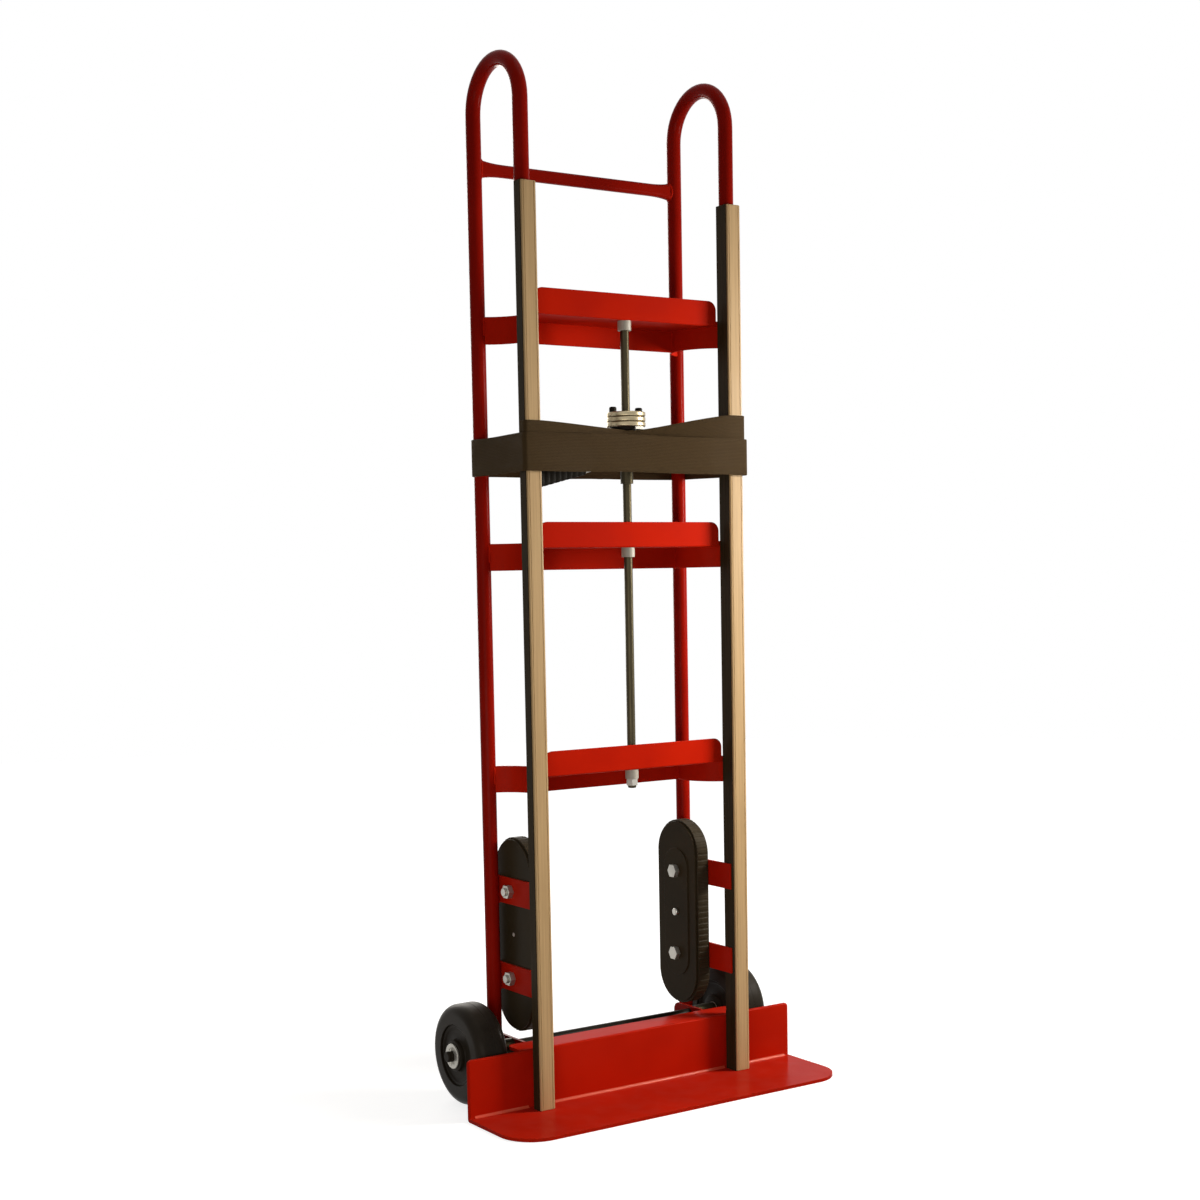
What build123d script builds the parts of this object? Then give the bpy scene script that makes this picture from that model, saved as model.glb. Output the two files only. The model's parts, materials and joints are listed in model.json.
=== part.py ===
from build123d import *
import os

os.makedirs("parts", exist_ok=True)

# Appliance hand truck, in millimetres. X runs across the truck, the load side faces -Y and Z is up.
# Y is zero on the front face of the back plate, and Z is zero on the floor.

# Side frames: one hairpin tube on each side
truck_height = 1524.0
frame_spacing = 360.0
tube_diameter = 22.2
tube_wall = 2.0
leg_spacing = 132.0
rear_leg_foot = 48.0
foot_plug_depth = 16.0
foot_plug_rim = 3.0
weld_gap = 0.15
running_fit = 0.08
seat_fit = 0.03

# Toe plate: one bent sheet
toe_width = 590.0
toe_depth = 142.0
toe_corner = 55.0
toe_sheet = 5.0
bend_radius = 4.5
flange_bend_radius = 3.0
back_plate_height = 90.0
back_plate_corner = 6.0
return_flange_width = 408.0
return_flange_depth = 45.0
return_flange_corner = 10.0

# Rail facings: a channel clipped over the front of each rail, with a pad in it
facing_below_bar = 44.0
channel_wall = 2.0
channel_lip = 2.0
channel_back = 8.0
pad_width = 24.0
pad_thickness = 5.0
pad_round = 1.2

# Cross members
tie_bar_below_top = 150.0
tie_bar_height = 18.5
tie_bar_end_height = 34.0
tie_bar_flare = 42.0
tie_bar_flare_slope = 0.5
tie_bar_depth = 13.0
tie_bar_round = 5.5
brace_names = ("lower", "middle", "upper")
lowest_brace_z = 489.0
brace_pitch = 331.0
brace_sheet = 3.0
brace_front_flange = 37.5
brace_front_setback = 21.3
brace_flange_corner = 14.0
brace_end_gap = 5.75
brace_rear_edge_inset = 5.0
brace_bend_radius = 2.5
brace_rib = 31.0
brace_rib_behind_flange = 84.0
brace_side_sag = 43.0
brace_side_above = 9.0
brace_side_below = 31.0
brace_lobe = 4.0

# Guide rod with its bushes and end nuts
rod_diameter = 12.7
rod_behind_heel = 3.0
bush_diameter = 15.0
bush_flange_diameter = 20.0
bush_flange = 14.0
rod_nut_flats = 16.0
rod_nut_height = 10.0
rod_thread_end = 4.0
rod_chamfer = 1.2

# Axle and wheels
wheel_diameter = 150.0
wheel_width = 52.0
wheel_outer_face = 266.0
wheel_behind_heel = 90.0
tyre_shoulder = 15.0
hub_diameter = 92.0
hub_recess = 3.0
hub_boss_diameter = 46.0
hub_boss_overhang = 3.0
wheel_bush_wall = 4.0
axle_diameter = 16.0
axle_end = 9.0
axle_side_play = 0.5
axle_chamfer = 1.5
spacer_wall = 3.5
washer_diameter = 37.0
washer_thickness = 3.0
cotter_diameter = 4.0
cotter_overhang = 5.0
bracket_sheet = 5.0
bracket_top = 87.0
bracket_bottom = 22.0
bracket_round = 12.0

# Stair glides: an oval guide with an endless belt round it, bolted to two straps on each side frame
glide_middle_y = 84.0
glide_above_bracket = 11.0
glide_width = 104.0
glide_height = 294.0
glide_belt = 6.0
glide_belt_width = 20.6
glide_plate = 3.0
glide_plate_inset = 3.0
glide_panel = 2.0
glide_panel_width = 62.0
glide_panel_height = 204.0
glide_belt_play = 0.3
glide_bolt_pitch = 132.0
glide_bolt_diameter = 12.0
glide_bolt_flats = 19.0
glide_bolt_head = 8.0
glide_nut_height = 9.0
glide_screw_diameter = 6.0
glide_screw_head_diameter = 12.0
glide_screw_head = 4.0
strap_bar_sheet = 4.0
strap_bar_height = 40.0
strap_bar_round = 6.0
strap_bar_front = 10.0

# Strap tightener on the guide rod, from its lowest edge up
tightener_above_brace = 94.0
sleeve_wall = 3.0
winding_above_sleeve = 20.5
winding_diameter = 30.0
head_above_sleeve = 78.0
head_diameter = 47.0
head_thickness = 4.6
ring_diameter = 58.0
ring_thickness = 7.0
ring_edge = 2.0
ring_gap = 0.4
plunger_circle = 46.0
plunger_diameter = 6.6
plunger_pocket = 7.4
plunger_pocket_depth = 3.0
plunger_pockets = 16
plunger_cap_diameter = 11.0
plunger_cap = 7.0
pawl_box_size = (14.0, 9.0, 4.6)
pawl_box_x = 5.0
lever_sheet = 5.0
lever_behind_rod = 10.0
lever_inner_x = -8.0
lever_crank_x = -22.0
lever_crank_width = 14.0
lever_neck = 3.0
lever_tip_x = -150.0
lever_root_above_sleeve = 26.0
lever_tip_below_sleeve = 6.0
lever_depth = 18.0
grip_length = 84.0
grip_wall = 3.0
grip_round = 2.5

# Load strap, put away round the frame
strap_width = 54.0
strap_thickness = 2.4
strap_clearance = 0.4
strap_side_slack = 1.0
strap_loop_below_winding = 6.5
strap_corner = 4.0
left_strap_rise = 10.5
right_strap_rise = 28.5
strap_tail = 16.0

# Places worked out from the sizes above
sides = (("left", -1), ("right", 1))
frame_x = frame_spacing / 2
tube_radius = tube_diameter / 2
tube_bore = tube_radius - tube_wall
tube_clear = tube_radius + weld_gap
rail_y = -tube_clear
rear_y = rail_y + leg_spacing
middle_y = (rail_y + rear_y) / 2
bend_z = truck_height - tube_radius - leg_spacing / 2
inboard_x = frame_x - tube_clear
tube_places = [(x, y) for x in (-frame_x, frame_x) for y in (rail_y, rear_y)]
channel_half = tube_clear + channel_wall
pad_seat = tube_clear + channel_wall
pad_face_y = rail_y - pad_seat - pad_thickness
tie_bar_middle_z = truck_height - tie_bar_below_top
facing_top = tie_bar_middle_z - facing_below_bar
brace_z = [lowest_brace_z + step * brace_pitch for step in range(len(brace_names))]
brace_front_y = pad_face_y + brace_front_setback
brace_half = frame_x - channel_half - brace_end_gap
brace_rear_y = rear_y - brace_rear_edge_inset
brace_rib_y = brace_front_y + brace_rib_behind_flange
brace_rib_half = frame_x - brace_side_sag + brace_sheet / 2
brace_seat_y = rail_y + channel_back + weld_gap
brace_leg_y = rear_y - channel_back - weld_gap
rod_radius = rod_diameter / 2
rod_place = (0, rod_behind_heel)
rod_bottom = brace_z[0] - bush_flange - rod_nut_height - rod_thread_end
rod_top = brace_z[-1] + brace_sheet + rod_nut_height + rod_thread_end
wheel_radius = wheel_diameter / 2
wheel_middle_x = wheel_outer_face - wheel_width / 2
boss_inner_x = wheel_middle_x - wheel_width / 2 - hub_boss_overhang
boss_outer_x = wheel_middle_x + wheel_width / 2 + hub_boss_overhang
axle_radius = axle_diameter / 2
wheel_bush_radius = axle_radius + running_fit + wheel_bush_wall
washer_x = boss_outer_x + axle_side_play
axle_half = washer_x + washer_thickness + axle_end
cotter_x = washer_x + washer_thickness + cotter_diameter / 2 + axle_side_play
glide_middle_z = bracket_top + glide_above_bracket + glide_height / 2
strap_bar_z = [glide_middle_z + step * glide_bolt_pitch / 2 for step in (-1, 1)]
glide_outer_x = inboard_x - strap_bar_sheet
belt_outer_x = glide_outer_x - glide_plate
belt_inner_x = belt_outer_x - glide_belt_width
glide_inner_x = belt_inner_x - glide_plate
glide_panel_x = glide_inner_x - glide_panel
core_width = glide_width - 2 * (glide_belt + glide_belt_play)
core_height = glide_height - 2 * (glide_belt + glide_belt_play)
sleeve_radius = rod_radius + running_fit + sleeve_wall
sleeve_bottom = brace_z[1] + tightener_above_brace
winding_bottom = sleeve_bottom + winding_above_sleeve
strap_loop_bottom = winding_bottom - strap_loop_below_winding
head_bottom = sleeve_bottom + head_above_sleeve
lever_root_z = sleeve_bottom + lever_root_above_sleeve
lever_tip_z = sleeve_bottom - lever_tip_below_sleeve
lever_disc_z = head_bottom + head_thickness
wheel_ring_z = lever_disc_z + ring_thickness + ring_gap
carrier_z = wheel_ring_z + ring_thickness + ring_gap
carrier_top = carrier_z + ring_thickness
lever_y = rod_behind_heel + lever_behind_rod
run_back_y = rod_behind_heel - winding_diameter / 2 - strap_clearance
run_rail_y = pad_face_y - strap_clearance
run_edge_x = frame_x - channel_half
run_outer_x = frame_x + channel_half + strap_clearance
loop_front_y = run_rail_y - strap_thickness - strap_clearance
loop_side_x = run_outer_x + strap_thickness + strap_side_slack


def save(piece: BuildPart, label: str) -> None:
    """Label a finished sub-part and write its file."""
    piece.part.label = label
    export_step(piece.part, f"parts/{label}.step")


def across(x: float) -> Plane:
    """A plane square to X, with Y to the right and Z up."""
    return Plane(origin=(x, 0, 0), x_dir=(0, 1, 0), z_dir=(1, 0, 0))


def along(y: float, z: float = 0.0) -> Plane:
    """A plane square to Y that faces the load side, with X to the right and Z up from a height."""
    return Plane(origin=(0, y, z), x_dir=(1, 0, 0), z_dir=(0, -1, 0))


def level(z: float) -> Plane:
    """A level plane at a height."""
    return Plane.XY.offset(z)


# Hairpin side frames, with a plug in the foot of each rear leg
for side, sign in sides:
    with BuildPart() as frame_tube:
        with BuildLine(across(sign * frame_x)) as hairpin:
            front_leg = Line((rail_y, toe_sheet), (rail_y, bend_z))
            handle = ThreePointArc(front_leg @ 1, (middle_y, bend_z + leg_spacing / 2), (rear_y, bend_z))
            Line(handle @ 1, (rear_y, rear_leg_foot))
        with BuildSketch(level(toe_sheet)):
            with Locations((sign * frame_x, rail_y)):
                Circle(tube_radius)
                Circle(tube_bore, mode=Mode.SUBTRACT)
        sweep(path=hairpin.wire())
    save(frame_tube, f"{side}_frame_tube")

    with BuildPart() as foot_plug:
        with BuildSketch(level(rear_leg_foot)):
            with Locations((sign * frame_x, rear_y)):
                Circle(tube_bore - seat_fit)
        extrude(amount=foot_plug_depth)
        with BuildSketch(level(rear_leg_foot)):
            with Locations((sign * frame_x, rear_y)):
                Circle(tube_radius)
        extrude(amount=-foot_plug_rim)
        fillet(foot_plug.faces().sort_by(Axis.Z)[0].edges(), foot_plug_rim / 2)
    save(foot_plug, f"{side}_foot_plug")

# Toe plate: the toe, the back plate and the return flange along its top
with BuildPart() as toe_plate:
    with BuildSketch(level(0)):
        with Locations((0, (toe_sheet - toe_depth) / 2)):
            Rectangle(toe_width, toe_depth + toe_sheet)
    extrude(amount=toe_sheet)
    front_corners = toe_plate.edges().filter_by(Axis.Z).group_by(Axis.Y)[0]
    fillet(front_corners, toe_corner)
    with BuildSketch(along(0)) as back_face:
        with Locations((0, back_plate_height / 2)):
            Rectangle(toe_width, back_plate_height)
        fillet(back_face.vertices().group_by(Axis.Y)[-1], back_plate_corner)
    extrude(amount=-toe_sheet)
    with BuildSketch(level(back_plate_height)) as flange_face:
        with Locations((0, return_flange_depth / 2)):
            Rectangle(return_flange_width, return_flange_depth)
        fillet(flange_face.vertices().group_by(Axis.Y)[-1], return_flange_corner)
    extrude(amount=-toe_sheet)
    long_edges = toe_plate.edges().filter_by(Axis.X)
    heel_bend = long_edges.group_by(Axis.Z)[0].sort_by(Axis.Y)[-1]
    fillet(heel_bend, bend_radius)
    flange_bend = toe_plate.edges().filter_by(Axis.X).group_by(Axis.Z)[-1].sort_by(Axis.Y)[0]
    fillet(flange_bend, flange_bend_radius)
save(toe_plate, "toe_plate")

# Rail facings: a channel with a deeper inboard wall, notched for the glide straps, and the pad in its front
for side, sign in sides:
    with BuildPart() as channel:
        with BuildSketch(level(toe_sheet)):
            with Locations((sign * frame_x, rail_y)):
                with Locations((0, -(pad_seat + channel_lip) / 2)):
                    Rectangle(2 * channel_half, pad_seat + channel_lip)
                Circle(tube_clear, mode=Mode.SUBTRACT)
                with Locations((-sign * (tube_clear + channel_wall / 2), channel_back / 2)):
                    Rectangle(channel_wall, channel_back)
                with Locations((0, -pad_seat - channel_lip / 2)):
                    Rectangle(pad_width, channel_lip, mode=Mode.SUBTRACT)
        extrude(amount=facing_top - toe_sheet)
        with BuildSketch(across(sign * (inboard_x + weld_gap))):
            notch_front = strap_bar_front + weld_gap
            with Locations(*[(rail_y + (channel_back - notch_front) / 2, bar_z) for bar_z in strap_bar_z]):
                Rectangle(channel_back + notch_front, strap_bar_height + 2 * weld_gap)
        extrude(amount=-sign * channel_half, mode=Mode.SUBTRACT)
    save(channel, f"{side}_rail_channel")

    with BuildPart() as pad:
        with BuildSketch(level(toe_sheet)) as pad_section:
            with Locations((sign * frame_x, rail_y - pad_seat - pad_thickness / 2)):
                Rectangle(pad_width - 2 * seat_fit, pad_thickness)
            fillet(pad_section.vertices().group_by(Axis.Y)[0], pad_round)
        extrude(amount=facing_top - toe_sheet)
    save(pad, f"{side}_rail_pad")

# Top tie bar between the rear legs, flattened in the middle and flared where it meets them
with BuildPart() as tie_bar:
    with BuildSketch(along(rear_y - tie_bar_depth / 2, tie_bar_middle_z)):
        with BuildLine():
            middle_edge = Line((0, tie_bar_height / 2), (inboard_x - tie_bar_flare, tie_bar_height / 2))
            flare_end = (frame_x, tie_bar_end_height / 2)
            Spline([middle_edge @ 1, flare_end], tangents=[(1, 0), (1, tie_bar_flare_slope)])
            Line(flare_end, (frame_x, 0))
            mirror(about=Plane.XZ)
            mirror(about=Plane.YZ)
        make_face()
    extrude(amount=-tie_bar_depth)
    fillet(tie_bar.edges().filter_by(Axis.X), tie_bar_round)
    with BuildSketch(level(tie_bar_middle_z)):
        with Locations((-frame_x, rear_y), (frame_x, rear_y)):
            Circle(tube_clear)
    extrude(amount=tie_bar_end_height, both=True, mode=Mode.SUBTRACT)
save(tie_bar, "top_tie_bar")

# Stamped cross braces: a web with a raised front flange, a rib under it and hollowed sides
for brace_name, base_z in zip(brace_names, brace_z):
    with BuildPart() as brace:
        with BuildSketch(level(base_z)):
            with BuildLine():
                front_edge = Line((0, brace_front_y), (brace_half, brace_front_y))
                rail_side = Line(front_edge @ 1, (brace_half, brace_seat_y))
                rail_lobe = Line(rail_side @ 1, (frame_x, brace_seat_y))
                hollow_middle = (frame_x - brace_side_sag, middle_y)
                hollow = ThreePointArc(rail_lobe @ 1, hollow_middle, (frame_x, brace_leg_y))
                leg_lobe = Line(hollow @ 1, (frame_x, brace_rear_y))
                Line(leg_lobe @ 1, (0, brace_rear_y))
                mirror(about=Plane.YZ)
            make_face()
            with Locations(*tube_places):
                Circle(tube_clear, mode=Mode.SUBTRACT)
            with Locations(rod_place):
                Circle(bush_diameter / 2 + seat_fit, mode=Mode.SUBTRACT)
        extrude(amount=brace_sheet)
        with BuildSketch(level(base_z - brace_side_below)):
            with BuildLine():
                outer_hollow = ThreePointArc((frame_x, brace_seat_y), hollow_middle, (frame_x, brace_leg_y))
                inner_hollow = ThreePointArc(
                    (frame_x - brace_lobe, brace_seat_y - brace_sheet),
                    (frame_x - brace_side_sag - brace_sheet, middle_y),
                    (frame_x - brace_lobe, brace_leg_y + brace_sheet),
                )
                Line(outer_hollow @ 0, inner_hollow @ 0)
                Line(outer_hollow @ 1, inner_hollow @ 1)
            make_face()
            mirror(about=Plane.YZ)
            with Locations(*tube_places):
                Circle(tube_clear, mode=Mode.SUBTRACT)
        extrude(amount=brace_side_below + brace_side_above)
        with BuildSketch(along(brace_front_y, base_z)) as front_flange:
            with Locations((0, brace_front_flange / 2)):
                Rectangle(2 * brace_half, brace_front_flange)
            fillet(front_flange.vertices().group_by(Axis.Y)[-1], brace_flange_corner)
        extrude(amount=-brace_sheet)
        with BuildSketch(along(brace_rib_y, base_z + brace_sheet)):
            with Locations((0, -(brace_rib + brace_sheet) / 2)):
                Rectangle(2 * brace_rib_half, brace_rib + brace_sheet)
        extrude(amount=brace_sheet)
        front_edges = brace.edges().filter_by(Axis.X).group_by(Axis.Y)[0]
        fillet(front_edges.sort_by(Axis.Z)[0], brace_bend_radius)
    save(brace, f"{brace_name}_cross_brace")

# Guide rod through the three braces, with a flanged bush in each brace and a nut on each end
with BuildPart() as guide_rod:
    with BuildSketch(level(rod_bottom)):
        with Locations(rod_place):
            Circle(rod_radius)
    extrude(amount=rod_top - rod_bottom)
    chamfer(guide_rod.edges().filter_by(GeomType.CIRCLE), rod_chamfer)
save(guide_rod, "guide_rod")

with BuildPart() as rod_bushes:
    for base_z in brace_z:
        with BuildSketch(level(base_z - bush_flange)):
            with Locations(rod_place):
                Circle(bush_flange_diameter / 2)
        extrude(amount=bush_flange)
        with BuildSketch(level(base_z)):
            with Locations(rod_place):
                Circle(bush_diameter / 2)
        extrude(amount=brace_sheet)
    with BuildSketch(level(rod_bottom)):
        with Locations(rod_place):
            Circle(rod_radius + seat_fit)
    extrude(amount=rod_top - rod_bottom, mode=Mode.SUBTRACT)
save(rod_bushes, "rod_bushes")

with BuildPart() as rod_nuts:
    for nut_z in (rod_bottom + rod_thread_end, rod_top - rod_thread_end - rod_nut_height):
        with BuildSketch(level(nut_z)):
            with Locations(rod_place):
                RegularPolygon(rod_nut_flats / 2, 6, major_radius=False)
                Circle(rod_radius + seat_fit, mode=Mode.SUBTRACT)
        extrude(amount=rod_nut_height)
save(rod_nuts, "rod_nuts")

# Axle brackets: a plate inside each rear leg, standing between the back plate and the leg
for side, sign in sides:
    with BuildPart() as bracket:
        with BuildSketch(across(sign * (inboard_x - bracket_sheet / 2))) as bracket_face:
            with BuildLine():
                Polyline(
                    (toe_sheet, bracket_bottom),
                    (toe_sheet, back_plate_height - toe_sheet),
                    (return_flange_depth + weld_gap, back_plate_height - toe_sheet),
                    (return_flange_depth + weld_gap, bracket_top),
                    (rear_y + tube_radius, bracket_top),
                    (rear_y + tube_radius, rear_leg_foot),
                    (wheel_behind_heel, bracket_bottom),
                    close=True,
                )
            make_face()
            fillet(bracket_face.vertices().group_by(Axis.X)[-1], bracket_round)
            with Locations((wheel_behind_heel, wheel_radius)):
                Circle(axle_radius + seat_fit, mode=Mode.SUBTRACT)
        extrude(amount=bracket_sheet / 2, both=True)
    save(bracket, f"{side}_axle_bracket")

# Axle with the spacers, washers and split pins that keep the wheels in place
axle_place = (wheel_behind_heel, wheel_radius)
with BuildPart() as axle:
    with BuildSketch(across(0)):
        with Locations(axle_place):
            Circle(axle_radius)
    extrude(amount=axle_half, both=True)
    chamfer(axle.edges().filter_by(GeomType.CIRCLE), axle_chamfer)
    with BuildSketch(level(0)):
        with Locations((-cotter_x, wheel_behind_heel), (cotter_x, wheel_behind_heel)):
            Circle(cotter_diameter / 2 + seat_fit)
    extrude(amount=wheel_diameter, mode=Mode.SUBTRACT)
save(axle, "axle")

with BuildPart() as axle_spacers:
    for side, sign in sides:
        with BuildSketch(across(sign * inboard_x)):
            with Locations(axle_place):
                Circle(axle_radius + seat_fit + spacer_wall)
                Circle(axle_radius + seat_fit, mode=Mode.SUBTRACT)
        extrude(amount=sign * (boss_inner_x - axle_side_play - inboard_x))
save(axle_spacers, "axle_spacers")

with BuildPart() as axle_washers:
    for side, sign in sides:
        with BuildSketch(across(sign * washer_x)):
            with Locations(axle_place):
                Circle(washer_diameter / 2)
                Circle(axle_radius + seat_fit, mode=Mode.SUBTRACT)
        extrude(amount=sign * washer_thickness)
save(axle_washers, "axle_washers")

with BuildPart() as split_pins:
    with BuildSketch(level(wheel_radius)):
        with Locations((-cotter_x, wheel_behind_heel), (cotter_x, wheel_behind_heel)):
            Circle(cotter_diameter / 2)
    extrude(amount=axle_radius + cotter_overhang, both=True)
save(split_pins, "split_pins")

# Wheels: a moulded hub on a bush, with a tyre that has round shoulders
for side, sign in sides:
    wheel_axis = Axis((0, wheel_behind_heel, wheel_radius), (1, 0, 0))
    wheel_plane = Plane(
        origin=(sign * wheel_middle_x, wheel_behind_heel, wheel_radius), x_dir=(1, 0, 0), z_dir=(0, -1, 0)
    )
    with BuildPart() as tyre:
        with BuildSketch(wheel_plane) as tyre_section:
            with Locations((0, (hub_diameter + wheel_diameter) / 4)):
                Rectangle(wheel_width, (wheel_diameter - hub_diameter) / 2)
            fillet(tyre_section.vertices().group_by(Axis.Y)[-1], tyre_shoulder)
        revolve(axis=wheel_axis)
    save(tyre, f"{side}_tyre")

    with BuildPart() as hub:
        with BuildSketch(wheel_plane):
            with Locations((0, hub_diameter / 4 - seat_fit / 2)):
                Rectangle(wheel_width - 2 * hub_recess, hub_diameter / 2 - seat_fit)
            with Locations((0, hub_boss_diameter / 4)):
                Rectangle(boss_outer_x - boss_inner_x, hub_boss_diameter / 2)
            with Locations((0, wheel_bush_radius / 2)):
                Rectangle(
                    boss_outer_x - boss_inner_x, wheel_bush_radius + 2 * seat_fit, mode=Mode.SUBTRACT
                )
        revolve(axis=wheel_axis)
    save(hub, f"{side}_hub")

    with BuildPart() as wheel_bush:
        with BuildSketch(across(sign * wheel_middle_x)):
            with Locations(axle_place):
                Circle(wheel_bush_radius)
                Circle(axle_radius + running_fit, mode=Mode.SUBTRACT)
        extrude(amount=(boss_outer_x - boss_inner_x) / 2, both=True)
    save(wheel_bush, f"{side}_wheel_bush")

# Glide straps: two flat bars welded inside each side frame, from the rail to the rear leg
for side, sign in sides:
    with BuildPart() as glide_straps:
        with BuildSketch(across(sign * inboard_x)) as strap_faces:
            for bar_z in strap_bar_z:
                with Locations(((rail_y - strap_bar_front + rear_y + tube_radius) / 2, bar_z)):
                    Rectangle(rear_y + tube_radius - rail_y + strap_bar_front, strap_bar_height)
            fillet(strap_faces.vertices().group_by(Axis.X)[-1], strap_bar_round)
            with Locations(*[(glide_middle_y, bar_z) for bar_z in strap_bar_z]):
                Circle(glide_bolt_diameter / 2 + seat_fit, mode=Mode.SUBTRACT)
        extrude(amount=-sign * strap_bar_sheet)
    save(glide_straps, f"{side}_glide_straps")


def glide_holes() -> None:
    """Cut the holes for the two bolts and the middle screw through an oval of a stair glide."""
    with Locations(*[(glide_middle_y, bar_z) for bar_z in strap_bar_z]):
        Circle(glide_bolt_diameter / 2 + seat_fit, mode=Mode.SUBTRACT)
    with Locations((glide_middle_y, glide_middle_z)):
        Circle(glide_screw_diameter / 2 + seat_fit, mode=Mode.SUBTRACT)


# Stair glides: the guide, its two side plates and the endless belt that slides round it
for side, sign in sides:
    with BuildPart() as glide_core:
        with BuildSketch(across(sign * belt_inner_x)):
            with Locations((glide_middle_y, glide_middle_z)):
                SlotOverall(core_height, core_width, rotation=90)
            glide_holes()
        extrude(amount=sign * glide_belt_width)
    save(glide_core, f"{side}_glide_core")

    with BuildPart() as glide_belt_loop:
        with BuildSketch(across(sign * (belt_inner_x + glide_belt_play))):
            with Locations((glide_middle_y, glide_middle_z)):
                SlotOverall(glide_height, glide_width, rotation=90)
                SlotOverall(
                    glide_height - 2 * glide_belt,
                    glide_width - 2 * glide_belt,
                    rotation=90,
                    mode=Mode.SUBTRACT,
                )
        extrude(amount=sign * (glide_belt_width - 2 * glide_belt_play))
    save(glide_belt_loop, f"{side}_glide_belt")

    with BuildPart() as outer_plate:
        with BuildSketch(across(sign * belt_outer_x)):
            with Locations((glide_middle_y, glide_middle_z)):
                SlotOverall(
                    glide_height - 2 * glide_plate_inset, glide_width - 2 * glide_plate_inset, rotation=90
                )
            glide_holes()
        extrude(amount=sign * glide_plate)
    save(outer_plate, f"{side}_glide_outer_plate")

    with BuildPart() as inner_plate:
        with BuildSketch(across(sign * belt_inner_x)):
            with Locations((glide_middle_y, glide_middle_z)):
                SlotOverall(
                    glide_height - 2 * glide_plate_inset, glide_width - 2 * glide_plate_inset, rotation=90
                )
            glide_holes()
        extrude(amount=-sign * glide_plate)
        with BuildSketch(across(sign * glide_inner_x)):
            with Locations((glide_middle_y, glide_middle_z)):
                SlotOverall(glide_panel_height, glide_panel_width, rotation=90)
            glide_holes()
        extrude(amount=-sign * glide_panel)
    save(inner_plate, f"{side}_glide_inner_plate")

# Glide fasteners: bolts with their heads inboard, nuts on the straps, and a screw in the middle
bolt_end_x = inboard_x + glide_nut_height + rod_thread_end
bolt_places = [(glide_middle_y, bar_z) for bar_z in strap_bar_z]
with BuildPart() as glide_bolts:
    for side, sign in sides:
        with BuildSketch(across(sign * glide_panel_x)):
            with Locations(*bolt_places):
                Circle(glide_bolt_diameter / 2)
        extrude(amount=sign * (bolt_end_x - glide_panel_x))
        with BuildSketch(across(sign * glide_panel_x)):
            with Locations(*bolt_places):
                RegularPolygon(glide_bolt_flats / 2, 6, major_radius=False)
        extrude(amount=-sign * glide_bolt_head)
save(glide_bolts, "glide_bolts")

with BuildPart() as glide_nuts:
    for side, sign in sides:
        with BuildSketch(across(sign * inboard_x)):
            with Locations(*bolt_places):
                RegularPolygon(glide_bolt_flats / 2, 6, major_radius=False)
                Circle(glide_bolt_diameter / 2 + seat_fit, mode=Mode.SUBTRACT)
        extrude(amount=sign * glide_nut_height)
save(glide_nuts, "glide_nuts")

with BuildPart() as glide_screws:
    for side, sign in sides:
        with BuildSketch(across(sign * glide_panel_x)):
            with Locations((glide_middle_y, glide_middle_z)):
                Circle(glide_screw_diameter / 2)
        extrude(amount=sign * (glide_outer_x - glide_panel_x))
        with BuildSketch(across(sign * glide_panel_x)):
            with Locations((glide_middle_y, glide_middle_z)):
                Circle(glide_screw_head_diameter / 2)
        extrude(amount=-sign * glide_screw_head)
    head_rims = glide_screws.edges().filter_by(GeomType.CIRCLE).sort_by(Axis.X)
    fillet([head_rims[len(head_rims) // 2 - 1], head_rims[len(head_rims) // 2]], glide_screw_head / 2)
save(glide_screws, "glide_screws")

# Spool of the strap tightener: a sleeve that turns on the rod, with the index ring near its top
with BuildPart() as spool_sleeve:
    with BuildSketch(level(sleeve_bottom)):
        with Locations(rod_place):
            Circle(sleeve_radius)
            Circle(rod_radius + running_fit, mode=Mode.SUBTRACT)
    extrude(amount=wheel_ring_z + ring_thickness - sleeve_bottom)
save(spool_sleeve, "spool_sleeve")

with BuildPart() as index_ring:
    with BuildSketch(level(wheel_ring_z)):
        with Locations(rod_place):
            Circle(ring_diameter / 2)
    extrude(amount=ring_thickness)
    fillet(index_ring.edges().filter_by(GeomType.CIRCLE), ring_edge)
    with BuildSketch(level(wheel_ring_z)):
        with Locations(rod_place):
            Circle(sleeve_radius + seat_fit)
    extrude(amount=ring_thickness, mode=Mode.SUBTRACT)
    with BuildSketch(level(wheel_ring_z + ring_thickness)):
        with Locations(rod_place):
            with PolarLocations(plunger_circle / 2, plunger_pockets):
                Circle(plunger_pocket / 2)
    extrude(amount=-plunger_pocket_depth, mode=Mode.SUBTRACT)
save(index_ring, "index_ring")

# Carrier ring, which slides along the rod and holds two spring plungers over the index ring
plunger_places = [(step * plunger_circle / 2, rod_behind_heel) for step in (-1, 1)]
with BuildPart() as carrier_ring:
    with BuildSketch(level(carrier_z)):
        with Locations(rod_place):
            Circle(ring_diameter / 2)
    extrude(amount=ring_thickness)
    fillet(carrier_ring.edges().filter_by(GeomType.CIRCLE), ring_edge)
    with BuildSketch(level(carrier_z)):
        with Locations(rod_place):
            Circle(rod_radius + running_fit)
        with Locations(*plunger_places):
            Circle(plunger_diameter / 2 + running_fit)
    extrude(amount=ring_thickness, mode=Mode.SUBTRACT)
save(carrier_ring, "carrier_ring")

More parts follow.
